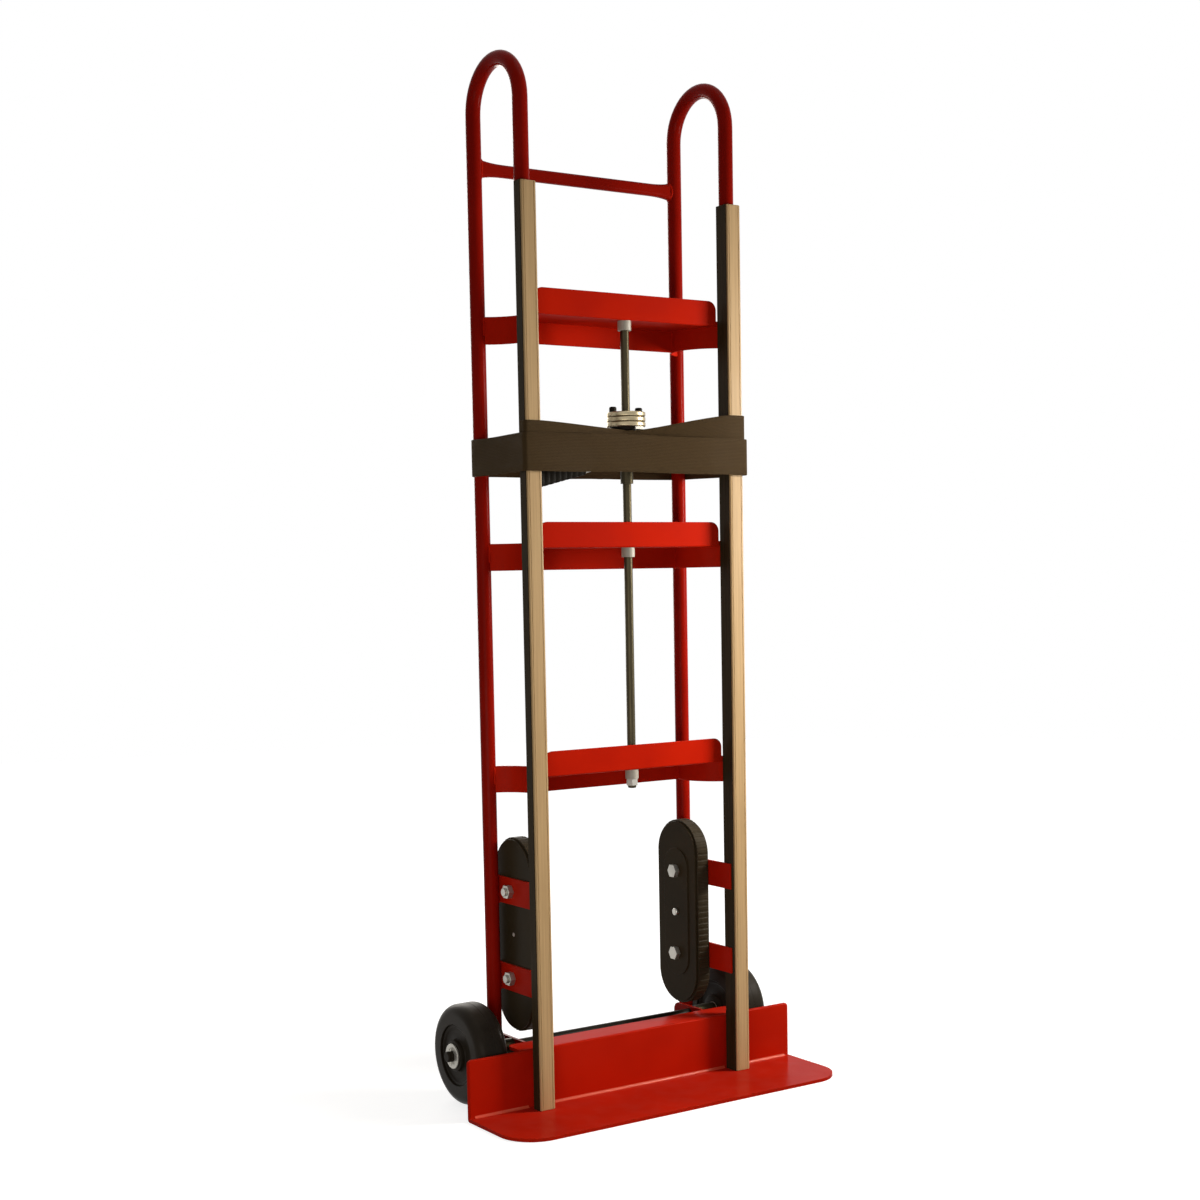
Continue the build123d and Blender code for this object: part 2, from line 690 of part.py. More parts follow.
for side, sign in sides:
    with BuildPart() as plunger:
        with BuildSketch(level(carrier_z)):
            with Locations((sign * plunger_circle / 2, rod_behind_heel)):
                Circle(plunger_diameter / 2)
        extrude(amount=ring_thickness + ring_gap)
        with BuildSketch(level(carrier_top + ring_gap)):
            with Locations((sign * plunger_circle / 2, rod_behind_heel)):
                Circle(plunger_cap_diameter / 2)
        extrude(amount=plunger_cap)
        fillet(plunger.edges().filter_by(GeomType.CIRCLE).sort_by(Axis.Z)[-1], plunger_cap / 3)
    save(plunger, f"{side}_plunger")

# Lever: a ring and a head that turn on the sleeve, a cranked arm behind the strap, and its grip
with BuildPart() as lever_ring:
    with BuildSketch(level(lever_disc_z)):
        with Locations(rod_place):
            Circle(ring_diameter / 2)
    extrude(amount=ring_thickness)
    fillet(lever_ring.edges().filter_by(GeomType.CIRCLE), ring_edge)
    with BuildSketch(level(lever_disc_z)):
        with Locations(rod_place):
            Circle(sleeve_radius + running_fit)
    extrude(amount=ring_thickness, mode=Mode.SUBTRACT)
save(lever_ring, "lever_ring")

with BuildPart() as lever_head:
    with BuildSketch(level(head_bottom)):
        with Locations(rod_place):
            Circle(head_diameter / 2)
            Circle(sleeve_radius + running_fit, mode=Mode.SUBTRACT)
    extrude(amount=head_thickness)
save(lever_head, "lever_head")

with BuildPart() as pawl_box:
    box_y = rod_behind_heel - head_diameter / 2
    with BuildSketch(level(lever_disc_z)) as box_face:
        with Locations((pawl_box_x, box_y)):
            Rectangle(pawl_box_size[0], pawl_box_size[1])
        with Locations(rod_place):
            Circle(head_diameter / 2 + seat_fit, mode=Mode.SUBTRACT)
    extrude(amount=-pawl_box_size[2])
save(pawl_box, "pawl_box")

lever_slope = (lever_tip_z - lever_root_z) / (lever_tip_x - lever_crank_x)
with BuildPart() as lever_arm:
    crank_outer_x = lever_crank_x - lever_crank_width
    with BuildSketch(along(lever_y)) as arm_face:
        with BuildLine():
            Polyline(
                (lever_inner_x, head_bottom),
                (lever_inner_x, head_bottom - lever_neck),
                (lever_crank_x, head_bottom - lever_neck),
                (lever_crank_x, lever_root_z),
                (lever_tip_x, lever_tip_z),
                (lever_tip_x, lever_tip_z + lever_depth),
                (crank_outer_x, lever_root_z + lever_depth + lever_slope * (crank_outer_x - lever_crank_x)),
                (crank_outer_x, head_bottom - lever_neck),
                (lever_crank_x, head_bottom),
                close=True,
            )
        make_face()
    extrude(amount=-lever_sheet)
save(lever_arm, "lever_arm")

with BuildPart() as lever_grip:
    grip_inner_x = lever_tip_x + grip_length
    grip_z = lever_tip_z + lever_slope * grip_length
    with BuildSketch(along(lever_y - grip_wall)):
        with BuildLine():
            Polyline(
                (grip_inner_x, grip_z - grip_wall),
                (lever_tip_x - grip_wall, lever_tip_z - grip_wall),
                (lever_tip_x - grip_wall, lever_tip_z + lever_depth + grip_wall),
                (grip_inner_x, grip_z + lever_depth + grip_wall),
                close=True,
            )
        make_face()
    extrude(amount=-(lever_sheet + 2 * grip_wall))
    fillet(lever_grip.edges(), grip_round)
    with BuildSketch(along(lever_y - seat_fit)):
        with BuildLine():
            Polyline(
                (grip_inner_x, grip_z - seat_fit),
                (lever_tip_x - seat_fit, lever_tip_z - seat_fit),
                (lever_tip_x - seat_fit, lever_tip_z + lever_depth + seat_fit),
                (grip_inner_x, grip_z + lever_depth + seat_fit),
                close=True,
            )
        make_face()
    extrude(amount=-(lever_sheet + 2 * seat_fit), mode=Mode.SUBTRACT)
save(lever_grip, "lever_grip")


def loop_outline(grow: float) -> None:
    """The outline round both rails and both rear legs, grown outwards by a distance."""
    with Locations(*[(sign * frame_x, rear_y) for side, sign in sides]):
        Circle(tube_radius + strap_clearance + grow)
    corner_place = (loop_side_x - strap_corner, loop_front_y + strap_corner)
    with Locations(*[(sign * corner_place[0], corner_place[1]) for side, sign in sides]):
        Circle(strap_corner + grow)
    make_hull()


# Load strap: the loop round the frame, the turns on the spool, and the run from there to each rail
with BuildPart() as strap_loop:
    with BuildSketch(level(strap_loop_bottom)):
        loop_outline(strap_thickness)
    extrude(amount=strap_width)
    with BuildSketch(level(strap_loop_bottom)):
        loop_outline(0)
    extrude(amount=strap_width, mode=Mode.SUBTRACT)
save(strap_loop, "strap_loop")

with BuildPart() as strap_winding:
    with BuildSketch(level(winding_bottom)):
        with Locations(rod_place):
            Circle(winding_diameter / 2)
            Circle(sleeve_radius + strap_clearance, mode=Mode.SUBTRACT)
    extrude(amount=strap_width)
save(strap_winding, "strap_winding")

for (side, sign), rise in zip(sides, (left_strap_rise, right_strap_rise)):
    with BuildPart() as strap_run:
        with BuildSketch(across(sign * strap_clearance)):
            with Locations((run_back_y - strap_thickness / 2, winding_bottom + strap_width / 2)):
                Rectangle(strap_thickness, strap_width)
        with BuildSketch(across(sign * run_edge_x)):
            with Locations((run_rail_y - strap_thickness / 2, winding_bottom + rise + strap_width / 2)):
                Rectangle(strap_thickness, strap_width)
        loft()
        with BuildSketch(level(winding_bottom + rise)) as rail_turn:
            outer_x = run_outer_x + strap_thickness
            with Locations((sign * (run_edge_x + outer_x) / 2, run_rail_y - strap_thickness / 2)):
                Rectangle(outer_x - run_edge_x, strap_thickness)
            with Locations((sign * (run_outer_x + outer_x) / 2, run_rail_y + strap_tail / 2)):
                Rectangle(strap_thickness, strap_tail)
            front_points = rail_turn.vertices().group_by(Axis.Y)[0]
            turn_corner = max(front_points, key=lambda point: sign * point.X)
            fillet(turn_corner, strap_corner - strap_clearance)
        extrude(amount=strap_width)
    save(strap_run, f"{side}_strap_run")
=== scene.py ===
"""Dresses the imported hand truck: finishes, webbing, wheels, glides, facings and welds."""
import json
import logging
import math
from dataclasses import dataclass, field
from enum import Enum
from functools import partial
from typing import Callable

import bmesh
import bpy
from mathutils import Matrix, Vector


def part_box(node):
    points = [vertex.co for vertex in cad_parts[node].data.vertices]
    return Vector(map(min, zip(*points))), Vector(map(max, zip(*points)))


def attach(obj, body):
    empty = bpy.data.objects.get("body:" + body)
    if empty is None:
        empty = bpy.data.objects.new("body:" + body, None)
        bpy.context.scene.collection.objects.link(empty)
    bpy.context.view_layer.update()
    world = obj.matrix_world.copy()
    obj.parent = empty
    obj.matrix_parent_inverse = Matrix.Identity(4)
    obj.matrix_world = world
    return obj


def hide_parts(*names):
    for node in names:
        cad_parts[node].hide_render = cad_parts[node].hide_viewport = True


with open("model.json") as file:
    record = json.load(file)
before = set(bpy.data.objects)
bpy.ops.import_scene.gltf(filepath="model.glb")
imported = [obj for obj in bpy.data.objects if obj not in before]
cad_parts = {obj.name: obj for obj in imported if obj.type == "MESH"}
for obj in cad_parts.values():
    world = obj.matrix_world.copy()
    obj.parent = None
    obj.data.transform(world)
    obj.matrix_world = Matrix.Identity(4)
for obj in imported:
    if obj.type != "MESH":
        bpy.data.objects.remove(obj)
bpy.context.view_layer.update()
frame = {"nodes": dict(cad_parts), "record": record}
LOG = logging.getLogger("hand_truck")

Triple = tuple[float, float, float]
Colour = Triple
Plan = tuple[float, float]
Ring = list[Vector]
Path = list[tuple[Vector, Vector]]
Socket = bpy.types.NodeSocket
Sockets = dict[str, Socket]
Value = Socket | float | tuple[float, ...]
Piece = bpy.types.Object

MIRROR = Vector((-1.0, 1.0, 1.0))
# Degrees: an edge that turns by more than the first stays crisp, and one by less than the second is flat.
SHARP_TURN = 38.0
FLAT_TURN = 0.5
SAME_POINT = 1e-6


class Side(Enum):
    """The two sides of the truck, seen from in front of the toe."""

    LEFT = -1
    RIGHT = 1

    @property
    def word(self) -> str:
        """The side's name as the solids spell it."""
        return self.name.lower()


class Texture(Enum):
    """What the fine relief of a finish looks like."""

    GRAINY = "fine grain, moulded or sprayed"
    DRAWN = "drawn along its length"
    TURNED = "turned on a lathe"
    WOVEN = "woven webbing"


class NodeTree:
    """Writes shader nodes into one tree."""

    def __init__(self, tree: bpy.types.NodeTree) -> None:
        """Keep the tree that the nodes go into."""
        self.tree = tree

    def node(self, kind: str, **values: object) -> bpy.types.Node:
        """Add a node.

        Args:
            kind: the node's type name.
            values: attributes to set on it.

        Returns:
            The new node.
        """
        made = self.tree.nodes.new(kind)
        for name, value in values.items():
            setattr(made, name, value)
        return made

    def feed(self, target: Socket, value: Value) -> None:
        """Link a socket to a target, or set the target to a plain value.

        Args:
            target: the input to feed.
            value: a socket, or the plain value.
        """
        if isinstance(value, Socket):
            self.tree.links.new(value, target)
        else:
            target.default_value = value

    def math(self, operation: str, first: Value, second: Value = 0.0) -> Socket:
        """Add a Math node.

        Args:
            operation: the node's operation.
            first: a socket or number.
            second: a socket or number.

        Returns:
            The node's output.
        """
        made = self.node("ShaderNodeMath", operation=operation)
        self.feed(made.inputs[0], first)
        self.feed(made.inputs[1], second)
        return made.outputs[0]

    def span(
        self, value: Value, low: float, high: float, to_low: float = 0.0, to_high: float = 1.0
    ) -> Socket:
        """Map a value from one span to another, smoothly and clamped.

        Args:
            value: the socket to map.
            low: start of its span.
            high: end of its span.
            to_low: what low becomes.
            to_high: what high becomes.

        Returns:
            The mapped value.
        """
        made = self.node("ShaderNodeMapRange", interpolation_type="SMOOTHSTEP")
        for index, item in enumerate((value, low, high, to_low, to_high)):
            self.feed(made.inputs[index], item)
        return made.outputs[0]

    def mix(self, share: Value, first: Value, second: Value) -> Socket:
        """Mix two colours.

        Args:
            share: how much of the second colour shows.
            first: a colour or socket.
            second: a colour or socket.

        Returns:
            The mixed colour.
        """
        made = self.node("ShaderNodeMix", data_type="RGBA")
        self.feed(made.inputs[0], share)
        for socket, value in ((made.inputs[6], first), (made.inputs[7], second)):
            self.feed(socket, value if isinstance(value, Socket) else (*value, 1.0))
        return made.outputs[2]

    def place(self) -> Socket:
        """The object's own coordinates."""
        return self.node("ShaderNodeTexCoord").outputs["Object"]

    def noise(self, place: Socket, scale: Value, detail: float) -> Socket:
        """Add a noise texture.

        Args:
            place: the coordinates.
            scale: lumps per metre.
            detail: octaves.

        Returns:
            The noise value.
        """
        made = self.node("ShaderNodeTexNoise")
        for name, value in (("Vector", place), ("Scale", scale), ("Detail", detail)):
            self.feed(made.inputs[name], value)
        return made.outputs["Fac"]

    def group(self, effect: bpy.types.NodeTree, **values: float) -> bpy.types.Node:
        """Place a shared effect.

        Args:
            effect: the group.
            values: its inputs by name.

        Returns:
            The group node.
        """
        made = self.node("ShaderNodeGroup", node_tree=effect)
        for name, value in values.items():
            made.inputs[name].default_value = value
        return made


class Effects:
    """The shader groups that several finishes share, each built once."""

    def __init__(self) -> None:
        """Build the groups."""
        self.grain = self.make("surface_grain", ("Scale",), ("Fine", "Broad"), self.write_grain)
        self.edges = self.make("worn_edges", ("Reach", "Amount"), ("Mask",), self.write_edges)
        self.dust = self.make("settled_dust", ("Amount",), ("Mask",), self.write_dust)
        self.weave = self.make("woven_webbing", ("Pitch", "Chevron"), ("Height", "Thread"), self.write_weave)
        upright, level = (1.0, 1.0, 0.02), (0.03, 0.03, 1.0)
        self.lines: dict[Texture, bpy.types.NodeTree] = {}
        for texture, stretch in ((Texture.DRAWN, upright), (Texture.TURNED, level)):
            write = partial(self.write_lines, stretch)
            self.lines[texture] = self.make(f"{texture.name.lower()}_lines", ("Scale",), ("Height",), write)

    @staticmethod
    def make(
        name: str,
        inputs: tuple[str, ...],
        outputs: tuple[str, ...],
        write: Callable[[NodeTree, Sockets, Sockets], None],
    ) -> bpy.types.NodeTree:
        """Build one group with float sockets.

        Args:
            name: the group's name.
            inputs: names of its inputs.
            outputs: names of its outputs.
            write: fills the group from its input sockets to its output sockets.

        Returns:
            The group's tree.
        """
        group = bpy.data.node_groups.new(name, "ShaderNodeTree")
        for label, way in [(item, "INPUT") for item in inputs] + [(item, "OUTPUT") for item in outputs]:
            group.interface.new_socket(name=label, in_out=way, socket_type="NodeSocketFloat")
        tree = NodeTree(group)
        start, end = tree.node("NodeGroupInput"), tree.node("NodeGroupOutput")
        given = {item: start.outputs[item] for item in inputs}
        write(tree, given, {item: end.inputs[item] for item in outputs})
        return group

    @staticmethod
    def write_grain(tree: NodeTree, given: Sockets, out: Sockets) -> None:
        """Fine grain, and broad blotches a good deal larger than it.

        Args:
            tree: the group's nodes.
            given: its inputs by name.
            out: its outputs by name.
        """
        tree.feed(out["Fine"], tree.noise(tree.place(), given["Scale"], 3.0))
        tree.feed(out["Broad"], tree.span(tree.noise(tree.place(), 9.0, 2.0), 0.32, 0.68))

    @staticmethod
    def write_edges(tree: NodeTree, given: Sockets, out: Sockets) -> None:
        """A broken line along outer edges, where a rounded normal leaves the true one.

        Args:
            tree: the group's nodes.
            given: its inputs by name.
            out: its outputs by name.
        """
        bevel = tree.node("ShaderNodeBevel", samples=4)
        tree.feed(bevel.inputs["Radius"], given["Reach"])
        lean = tree.node("ShaderNodeVectorMath", operation="DOT_PRODUCT")
        tree.feed(lean.inputs[0], bevel.outputs["Normal"])
        tree.feed(lean.inputs[1], tree.node("ShaderNodeNewGeometry").outputs["Normal"])
        edge = tree.span(lean.outputs["Value"], 0.99, 0.8)
        broken = tree.span(tree.noise(tree.place(), 160.0, 4.0), 0.42, 0.62, 0.15)
        tree.feed(out["Mask"], tree.math("MULTIPLY", tree.math("MULTIPLY", edge, broken), given["Amount"]))

    @staticmethod
    def write_dust(tree: NodeTree, given: Sockets, out: Sockets) -> None:
        """A thin film on what faces up, thicker in patches.

        Args:
            tree: the group's nodes.
            given: its inputs by name.
            out: its outputs by name.
        """
        facing = tree.node("ShaderNodeSeparateXYZ")
        tree.feed(facing.inputs[0], tree.node("ShaderNodeNewGeometry").outputs["Normal"])
        up = tree.span(facing.outputs["Z"], 0.35, 0.95)
        patches = tree.span(tree.noise(tree.place(), 34.0, 5.0), 0.35, 0.7, 0.35)
        tree.feed(out["Mask"], tree.math("MULTIPLY", tree.math("MULTIPLY", up, patches), given["Amount"]))

    @staticmethod
    def write_lines(stretch: Triple, tree: NodeTree, given: Sockets, out: Sockets) -> None:
        """Fine lines along one axis: scratches up a drawn bar, or level lines round a turned piece.

        Args:
            stretch: how much the coordinates are scaled along each axis.
            tree: the group's nodes.
            given: its inputs by name.
            out: its outputs by name.
        """
        stretched = tree.node("ShaderNodeMapping")
        tree.feed(stretched.inputs["Vector"], tree.place())
        tree.feed(stretched.inputs["Scale"], stretch)
        tree.feed(out["Height"], tree.noise(stretched.outputs["Vector"], given["Scale"], 3.0))

    @staticmethod
    def write_weave(tree: NodeTree, given: Sockets, out: Sockets) -> None:
        """Herringbone webbing: slanted ribs that turn back across the width, with fuzz on the yarn, and a
        colour share that is darker in the grooves and lighter on the ribs, a painted shade, times a random
        yarn tone.

        Args:
            tree: the group's nodes.
            given: its inputs by name.
            out: its outputs by name.
        """
        where = tree.node("ShaderNodeSeparateXYZ")
        laid = tree.node("ShaderNodeUVMap").outputs["UV"]
        tree.feed(where.inputs[0], laid)
        turn = tree.math("PINGPONG", where.outputs["Y"], given["Chevron"])
        along = tree.math("DIVIDE", tree.math("ADD", where.outputs["X"], turn), given["Pitch"])
        rib = tree.math("SINE", tree.math("MULTIPLY", along, math.tau))
        across = tree.math("MULTIPLY", where.outputs["Y"], math.tau)
        yarn = tree.math("SINE", tree.math("DIVIDE", across, given["Pitch"]))
        fuzz = tree.noise(laid, 900.0, 3.0)
        height = tree.math("ADD", tree.math("MULTIPLY", rib, 0.5), tree.math("MULTIPLY", yarn, 0.2))
        tree.feed(out["Height"], tree.math("ADD", height, fuzz))
        # Painted shade: the webbing is darker where the weave is low and lighter where it is high.
        painted_groove_shade = tree.span(height, -0.6, 0.6)
        tree.feed(out["Thread"], tree.math("MULTIPLY", painted_groove_shade, tree.span(fuzz, 0.3, 0.7, 0.6)))


EFFECTS = Effects()
WEAVE = {"Pitch": 0.0021, "Chevron": 0.0068}
WORN_REACH = 0.0012
DUST_COLOUR = (0.42, 0.38, 0.33)
RELIEF_STRENGTH = 0.6


@dataclass(frozen=True)
class Finish:
    """One finish of the truck, with the slot of the record that it belongs to."""

    slot: str
    base: Colour
    shade: Colour
    rough: tuple[float, float]
    texture: Texture = Texture.GRAINY
    metallic: float = 0.0
    specular: float = 0.4
    scale: float = 900.0
    relief: float = 0.00008
    worn: Colour = (0.3, 0.3, 0.3)
    wear: float = 0.0
    dust: float = 0.0
    variant: str = ""

    def relief_of(self, tree: NodeTree, grain: bpy.types.Node) -> tuple[Socket, Socket]:
        """Find what the finish's texture raises and tints.

        Args:
            tree: the material's nodes.
            grain: the placed grain group.

        Returns:
            The height for the bump, and the tint between base and shade.
        """
        if self.texture is Texture.WOVEN:
            weave = tree.group(EFFECTS.weave, **WEAVE)
            return weave.outputs["Height"], weave.outputs["Thread"]
        if self.texture in EFFECTS.lines:
            height = tree.group(EFFECTS.lines[self.texture], Scale=self.scale).outputs["Height"]
            return height, tree.span(height, 0.35, 0.65)
        return grain.outputs["Fine"], grain.outputs["Broad"]

    def material(self) -> bpy.types.Material:
        """Make the material on first use.

        Returns:
            The finish as a material.
        """
        name = self.slot + self.variant
        found = bpy.data.materials.get(name)
        if found is not None and found.get("truck_finish"):
            return found
        made = bpy.data.materials.new(name)
        made["truck_finish"] = True
        made.use_nodes = True
        tree = NodeTree(made.node_tree)
        shader = made.node_tree.nodes["Principled BSDF"]
        grain = tree.group(EFFECTS.grain, Scale=self.scale)
        height, tint = self.relief_of(tree, grain)
        colour = tree.mix(tint, self.base, self.shade)
        if self.wear:
            edges = tree.group(EFFECTS.edges, Reach=WORN_REACH, Amount=self.wear)
            colour = tree.mix(edges.outputs["Mask"], colour, self.worn)
        if self.dust:
            film = tree.group(EFFECTS.dust, Amount=self.dust)
            colour = tree.mix(film.outputs["Mask"], colour, DUST_COLOUR)
        tree.feed(shader.inputs["Base Color"], colour)
        tree.feed(shader.inputs["Roughness"], tree.span(grain.outputs["Broad"], 0.0, 1.0, *self.rough))
        bump = tree.node("ShaderNodeBump")
        bump.inputs["Distance"].default_value = self.relief
        bump.inputs["Strength"].default_value = RELIEF_STRENGTH
        tree.feed(bump.inputs["Height"], height)
        tree.feed(shader.inputs["Normal"], bump.outputs["Normal"])
        shader.inputs["Metallic"].default_value = self.metallic
        shader.inputs["Specular IOR Level"].default_value = self.specular
        return made


FRAME_PAINT = Finish(
    "red_frame_paint", (0.50, 0.013, 0.0025), (0.43, 0.010, 0.002), (0.28, 0.38),
    specular=0.015, scale=420.0, relief=0.00005, worn=(0.58, 0.045, 0.02), wear=0.45, dust=0.02,
)
# A darker copy of the frame paint, a painted shade: the tubes, the tie bar and the axle brackets wear the
# same paint as the braces and are only darker here.
SHADED_FRAME_PAINT = Finish(
    "red_frame_paint", (0.31, 0.007, 0.002), (0.26, 0.0055, 0.0015), (0.20, 0.30),
    specular=0.02, scale=420.0, relief=0.00005, worn=(0.38, 0.025, 0.012), wear=0.3, dust=0.02,
    variant="_tube",
)
TOE_PAINT = Finish(
    "red_toe_paint", (0.48, 0.012, 0.0025), (0.42, 0.010, 0.002), (0.14, 0.24),
    specular=0.012, scale=380.0, relief=0.00004, worn=(0.58, 0.045, 0.02), wear=0.5, dust=0.02,
)
# A lighter, glossier copy of the toe paint for the hollow of the heel bend: a painted highlight along the
# bend.
HEEL_HIGHLIGHT_PAINT = Finish(
    "red_toe_paint", (0.66, 0.10, 0.05), (0.56, 0.06, 0.03), (0.2, 0.3),
    specular=0.2, scale=380.0, relief=0.00004, variant="_painted_highlight",
)
CHANNEL = Finish(
    "black_channel", (0.028, 0.0195, 0.009), (0.039, 0.0275, 0.0135), (0.34, 0.46), Texture.DRAWN,
    specular=0.025, scale=500.0, relief=0.00004, worn=(0.07, 0.055, 0.04), wear=0.5,
)
PAD = Finish(
    "tan_pad", (0.50, 0.335, 0.165), (0.44, 0.29, 0.14), (0.36, 0.48), Texture.DRAWN,
    specular=0.2, scale=420.0, relief=0.00008, worn=(0.36, 0.25, 0.13), wear=0.45,
)
TYRE = Finish(
    "tyre_rubber", (0.016, 0.012, 0.008), (0.024, 0.019, 0.0135), (0.30, 0.42),
    specular=0.05, scale=700.0, relief=0.00008, dust=0.03,
)
HUB = Finish(
    "hub_plastic", (0.014, 0.0105, 0.007), (0.02, 0.0155, 0.0105), (0.32, 0.44),
    specular=0.04, scale=1100.0, relief=0.00006,
)
NYLON = Finish("nylon", (0.42, 0.385, 0.32), (0.35, 0.32, 0.27), (0.4, 0.5), scale=900.0, relief=0.00005)
STEEL = Finish(
    "bright_steel", (0.055, 0.045, 0.026), (0.038, 0.031, 0.0175), (0.38, 0.5), Texture.DRAWN,
    metallic=1.0, scale=1400.0, relief=0.000012, worn=(0.16, 0.135, 0.09), wear=0.3,
)
ZINC = Finish(
    "zinc_plate", (0.46, 0.44, 0.395), (0.38, 0.365, 0.325), (0.3, 0.44),
    metallic=0.8, scale=600.0, relief=0.00003, worn=(0.6, 0.58, 0.52), wear=0.5,
)
BRASS = Finish(
    "pale_brass_plate", (0.42, 0.35, 0.225), (0.31, 0.255, 0.155), (0.26, 0.38), Texture.TURNED,
    metallic=0.9, scale=1600.0, relief=0.00003, worn=(0.62, 0.56, 0.42), wear=0.4,
)
BLACK_METAL = Finish(
    "black_metal", (0.014, 0.0105, 0.007), (0.021, 0.0165, 0.0115), (0.3, 0.42),
    specular=0.04, scale=800.0, relief=0.00004, worn=(0.12, 0.11, 0.095), wear=0.4,
)
GRIP = Finish(
    "black_grip", (0.014, 0.012, 0.009), (0.022, 0.019, 0.015), (0.45, 0.6),
    specular=0.05, scale=1300.0, relief=0.0001, worn=(0.08, 0.07, 0.06), wear=0.4,
)
BELT = Finish(
    "belt_rubber", (0.03, 0.0225, 0.012), (0.042, 0.032, 0.019), (0.40, 0.54),
    specular=0.04, scale=800.0, relief=0.0001, worn=(0.09, 0.075, 0.055), wear=0.2, dust=0.04,
)
GUIDE = Finish("guide_plastic", (0.03, 0.027, 0.022), (0.04, 0.036, 0.03), (0.4, 0.5), scale=900.0)
GLIDE_PLATE = Finish(
    "glide_plate_plastic", (0.03, 0.0215, 0.0105), (0.04, 0.029, 0.015), (0.30, 0.42),
    specular=0.025, scale=650.0, relief=0.00008, worn=(0.08, 0.068, 0.05), wear=0.5,
)
# Base is the colour in the weave's grooves and shade the lighter colour on its ribs: a painted shade between
# them, mixed with a random yarn tone.
WEBBING = Finish(
    "strap_webbing", (0.027, 0.0165, 0.007), (0.092, 0.057, 0.025), (0.62, 0.78), Texture.WOVEN,
    specular=0.04, scale=500.0, relief=0.0004, worn=(0.16, 0.115, 0.065), wear=0.3,
)
THREAD = Finish(
    "strap_webbing", (0.20, 0.145, 0.08), (0.15, 0.105, 0.06), (0.6, 0.75), scale=1800.0, relief=0.00005,
    variant="_thread",
)
FINISHES = {
    item.slot: item
    for item in (
        FRAME_PAINT, TOE_PAINT, CHANNEL, PAD, TYRE, HUB, NYLON, STEEL, ZINC, BRASS, BLACK_METAL, GRIP, BELT,
        GUIDE, GLIDE_PLATE, WEBBING,
    )
}


def added(name: str, data: bpy.types.ID) -> Piece:
    """Add an object to the scene.

    Args:
        name: its name.
        data: its mesh, light or camera.

    Returns:
        The new object.
    """
    made = bpy.data.objects.new(name, data)
    bpy.context.scene.collection.objects.link(made)
    return made


class Shell:
    """Gathers the points and faces of one mesh, and where it is webbing, each point's length and width."""

    def __init__(self) -> None:
        """Start empty."""
        self.points: Ring = []
        self.faces: list[tuple[int, ...]] = []
        self.laid: list[Plan] = []

    def tube(
        self, rings: list[Ring], closed: bool = False, laid: list[list[Plan]] | None = None
    ) -> "Shell":
        """Skin a row of rings, with a face on each open end.

        Args:
            rings: rings of points, all with the same count.
            closed: whether the last ring joins the first.
            laid: length and width of each point, for webbing.

        Returns:
            The shell itself.
        """
        start, count = len(self.points), len(rings[0])
        self.points += [point for ring in rings for point in ring]
        if laid:
            self.laid += [place for ring in laid for place in ring]
        for step in range(len(rings) if closed else len(rings) - 1):
            here, there = start + step * count, start + (step + 1) % len(rings) * count
            for spot in range(count):
                after = (spot + 1) % count
                self.faces.append((here + spot, here + after, there + after, there + spot))
        if not closed:
            last = start + (len(rings) - 1) * count
            self.faces.append(tuple(range(start + count - 1, start - 1, -1)))
            self.faces.append(tuple(range(last, last + count)))
        return self

    def piece(self, name: str, sharp: float = SHARP_TURN) -> Piece:
        """Make the mesh object.

        Args:
            name: the piece's name.
            sharp: edges that turn by more degrees than this stay crisp.

        Returns:
            The new object, in the scene.
        """
        mesh = bpy.data.meshes.new(name)
        mesh.from_pydata([tuple(point) for point in self.points], [], self.faces)
        if self.laid:
            layer = mesh.uv_layers.new(name="laid")
            for loop in mesh.loops:
                layer.data[loop.index].uv = self.laid[loop.vertex_index]
        work = bmesh.new()
        work.from_mesh(mesh)
        bmesh.ops.recalc_face_normals(work, faces=work.faces)
        work.to_mesh(mesh)
        work.free()
        mesh.shade_smooth()
        mesh.set_sharp_from_angle(angle=math.radians(sharp))
        return added(name, mesh)


def wire(path: Ring, radius: Callable[[float], float], sides: int = 8) -> list[Ring]:
    """Rings of a round wire along a path.

    Args:
        path: the points it follows.
        radius: its radius at a length along the path.
        sides: corners of each ring.

    Returns:
        One ring of points for each point of the path.
    """
    rings, length = [], 0.0
    side = None
    for index, point in enumerate(path):
        before, after = path[max(index - 1, 0)], path[min(index + 1, len(path) - 1)]
        ahead = (after - before).normalized()
        side = ahead.orthogonal() if side is None else side - ahead * side.dot(ahead)
        side = side.normalized()
        other = ahead.cross(side)
        length += (point - before).length
        reach = radius(length)
        turns = [math.tau * spot / sides for spot in range(sides)]
        rings.append([point + side * (reach * math.cos(t)) + other * (reach * math.sin(t)) for t in turns])
    return rings


def line(start: Vector, end: Vector, step: float) -> Ring:
    """Points along a straight line, about a step apart."""
    count = max(1, round((end - start).length / step))
    return [start.lerp(end, index / count) for index in range(count + 1)]


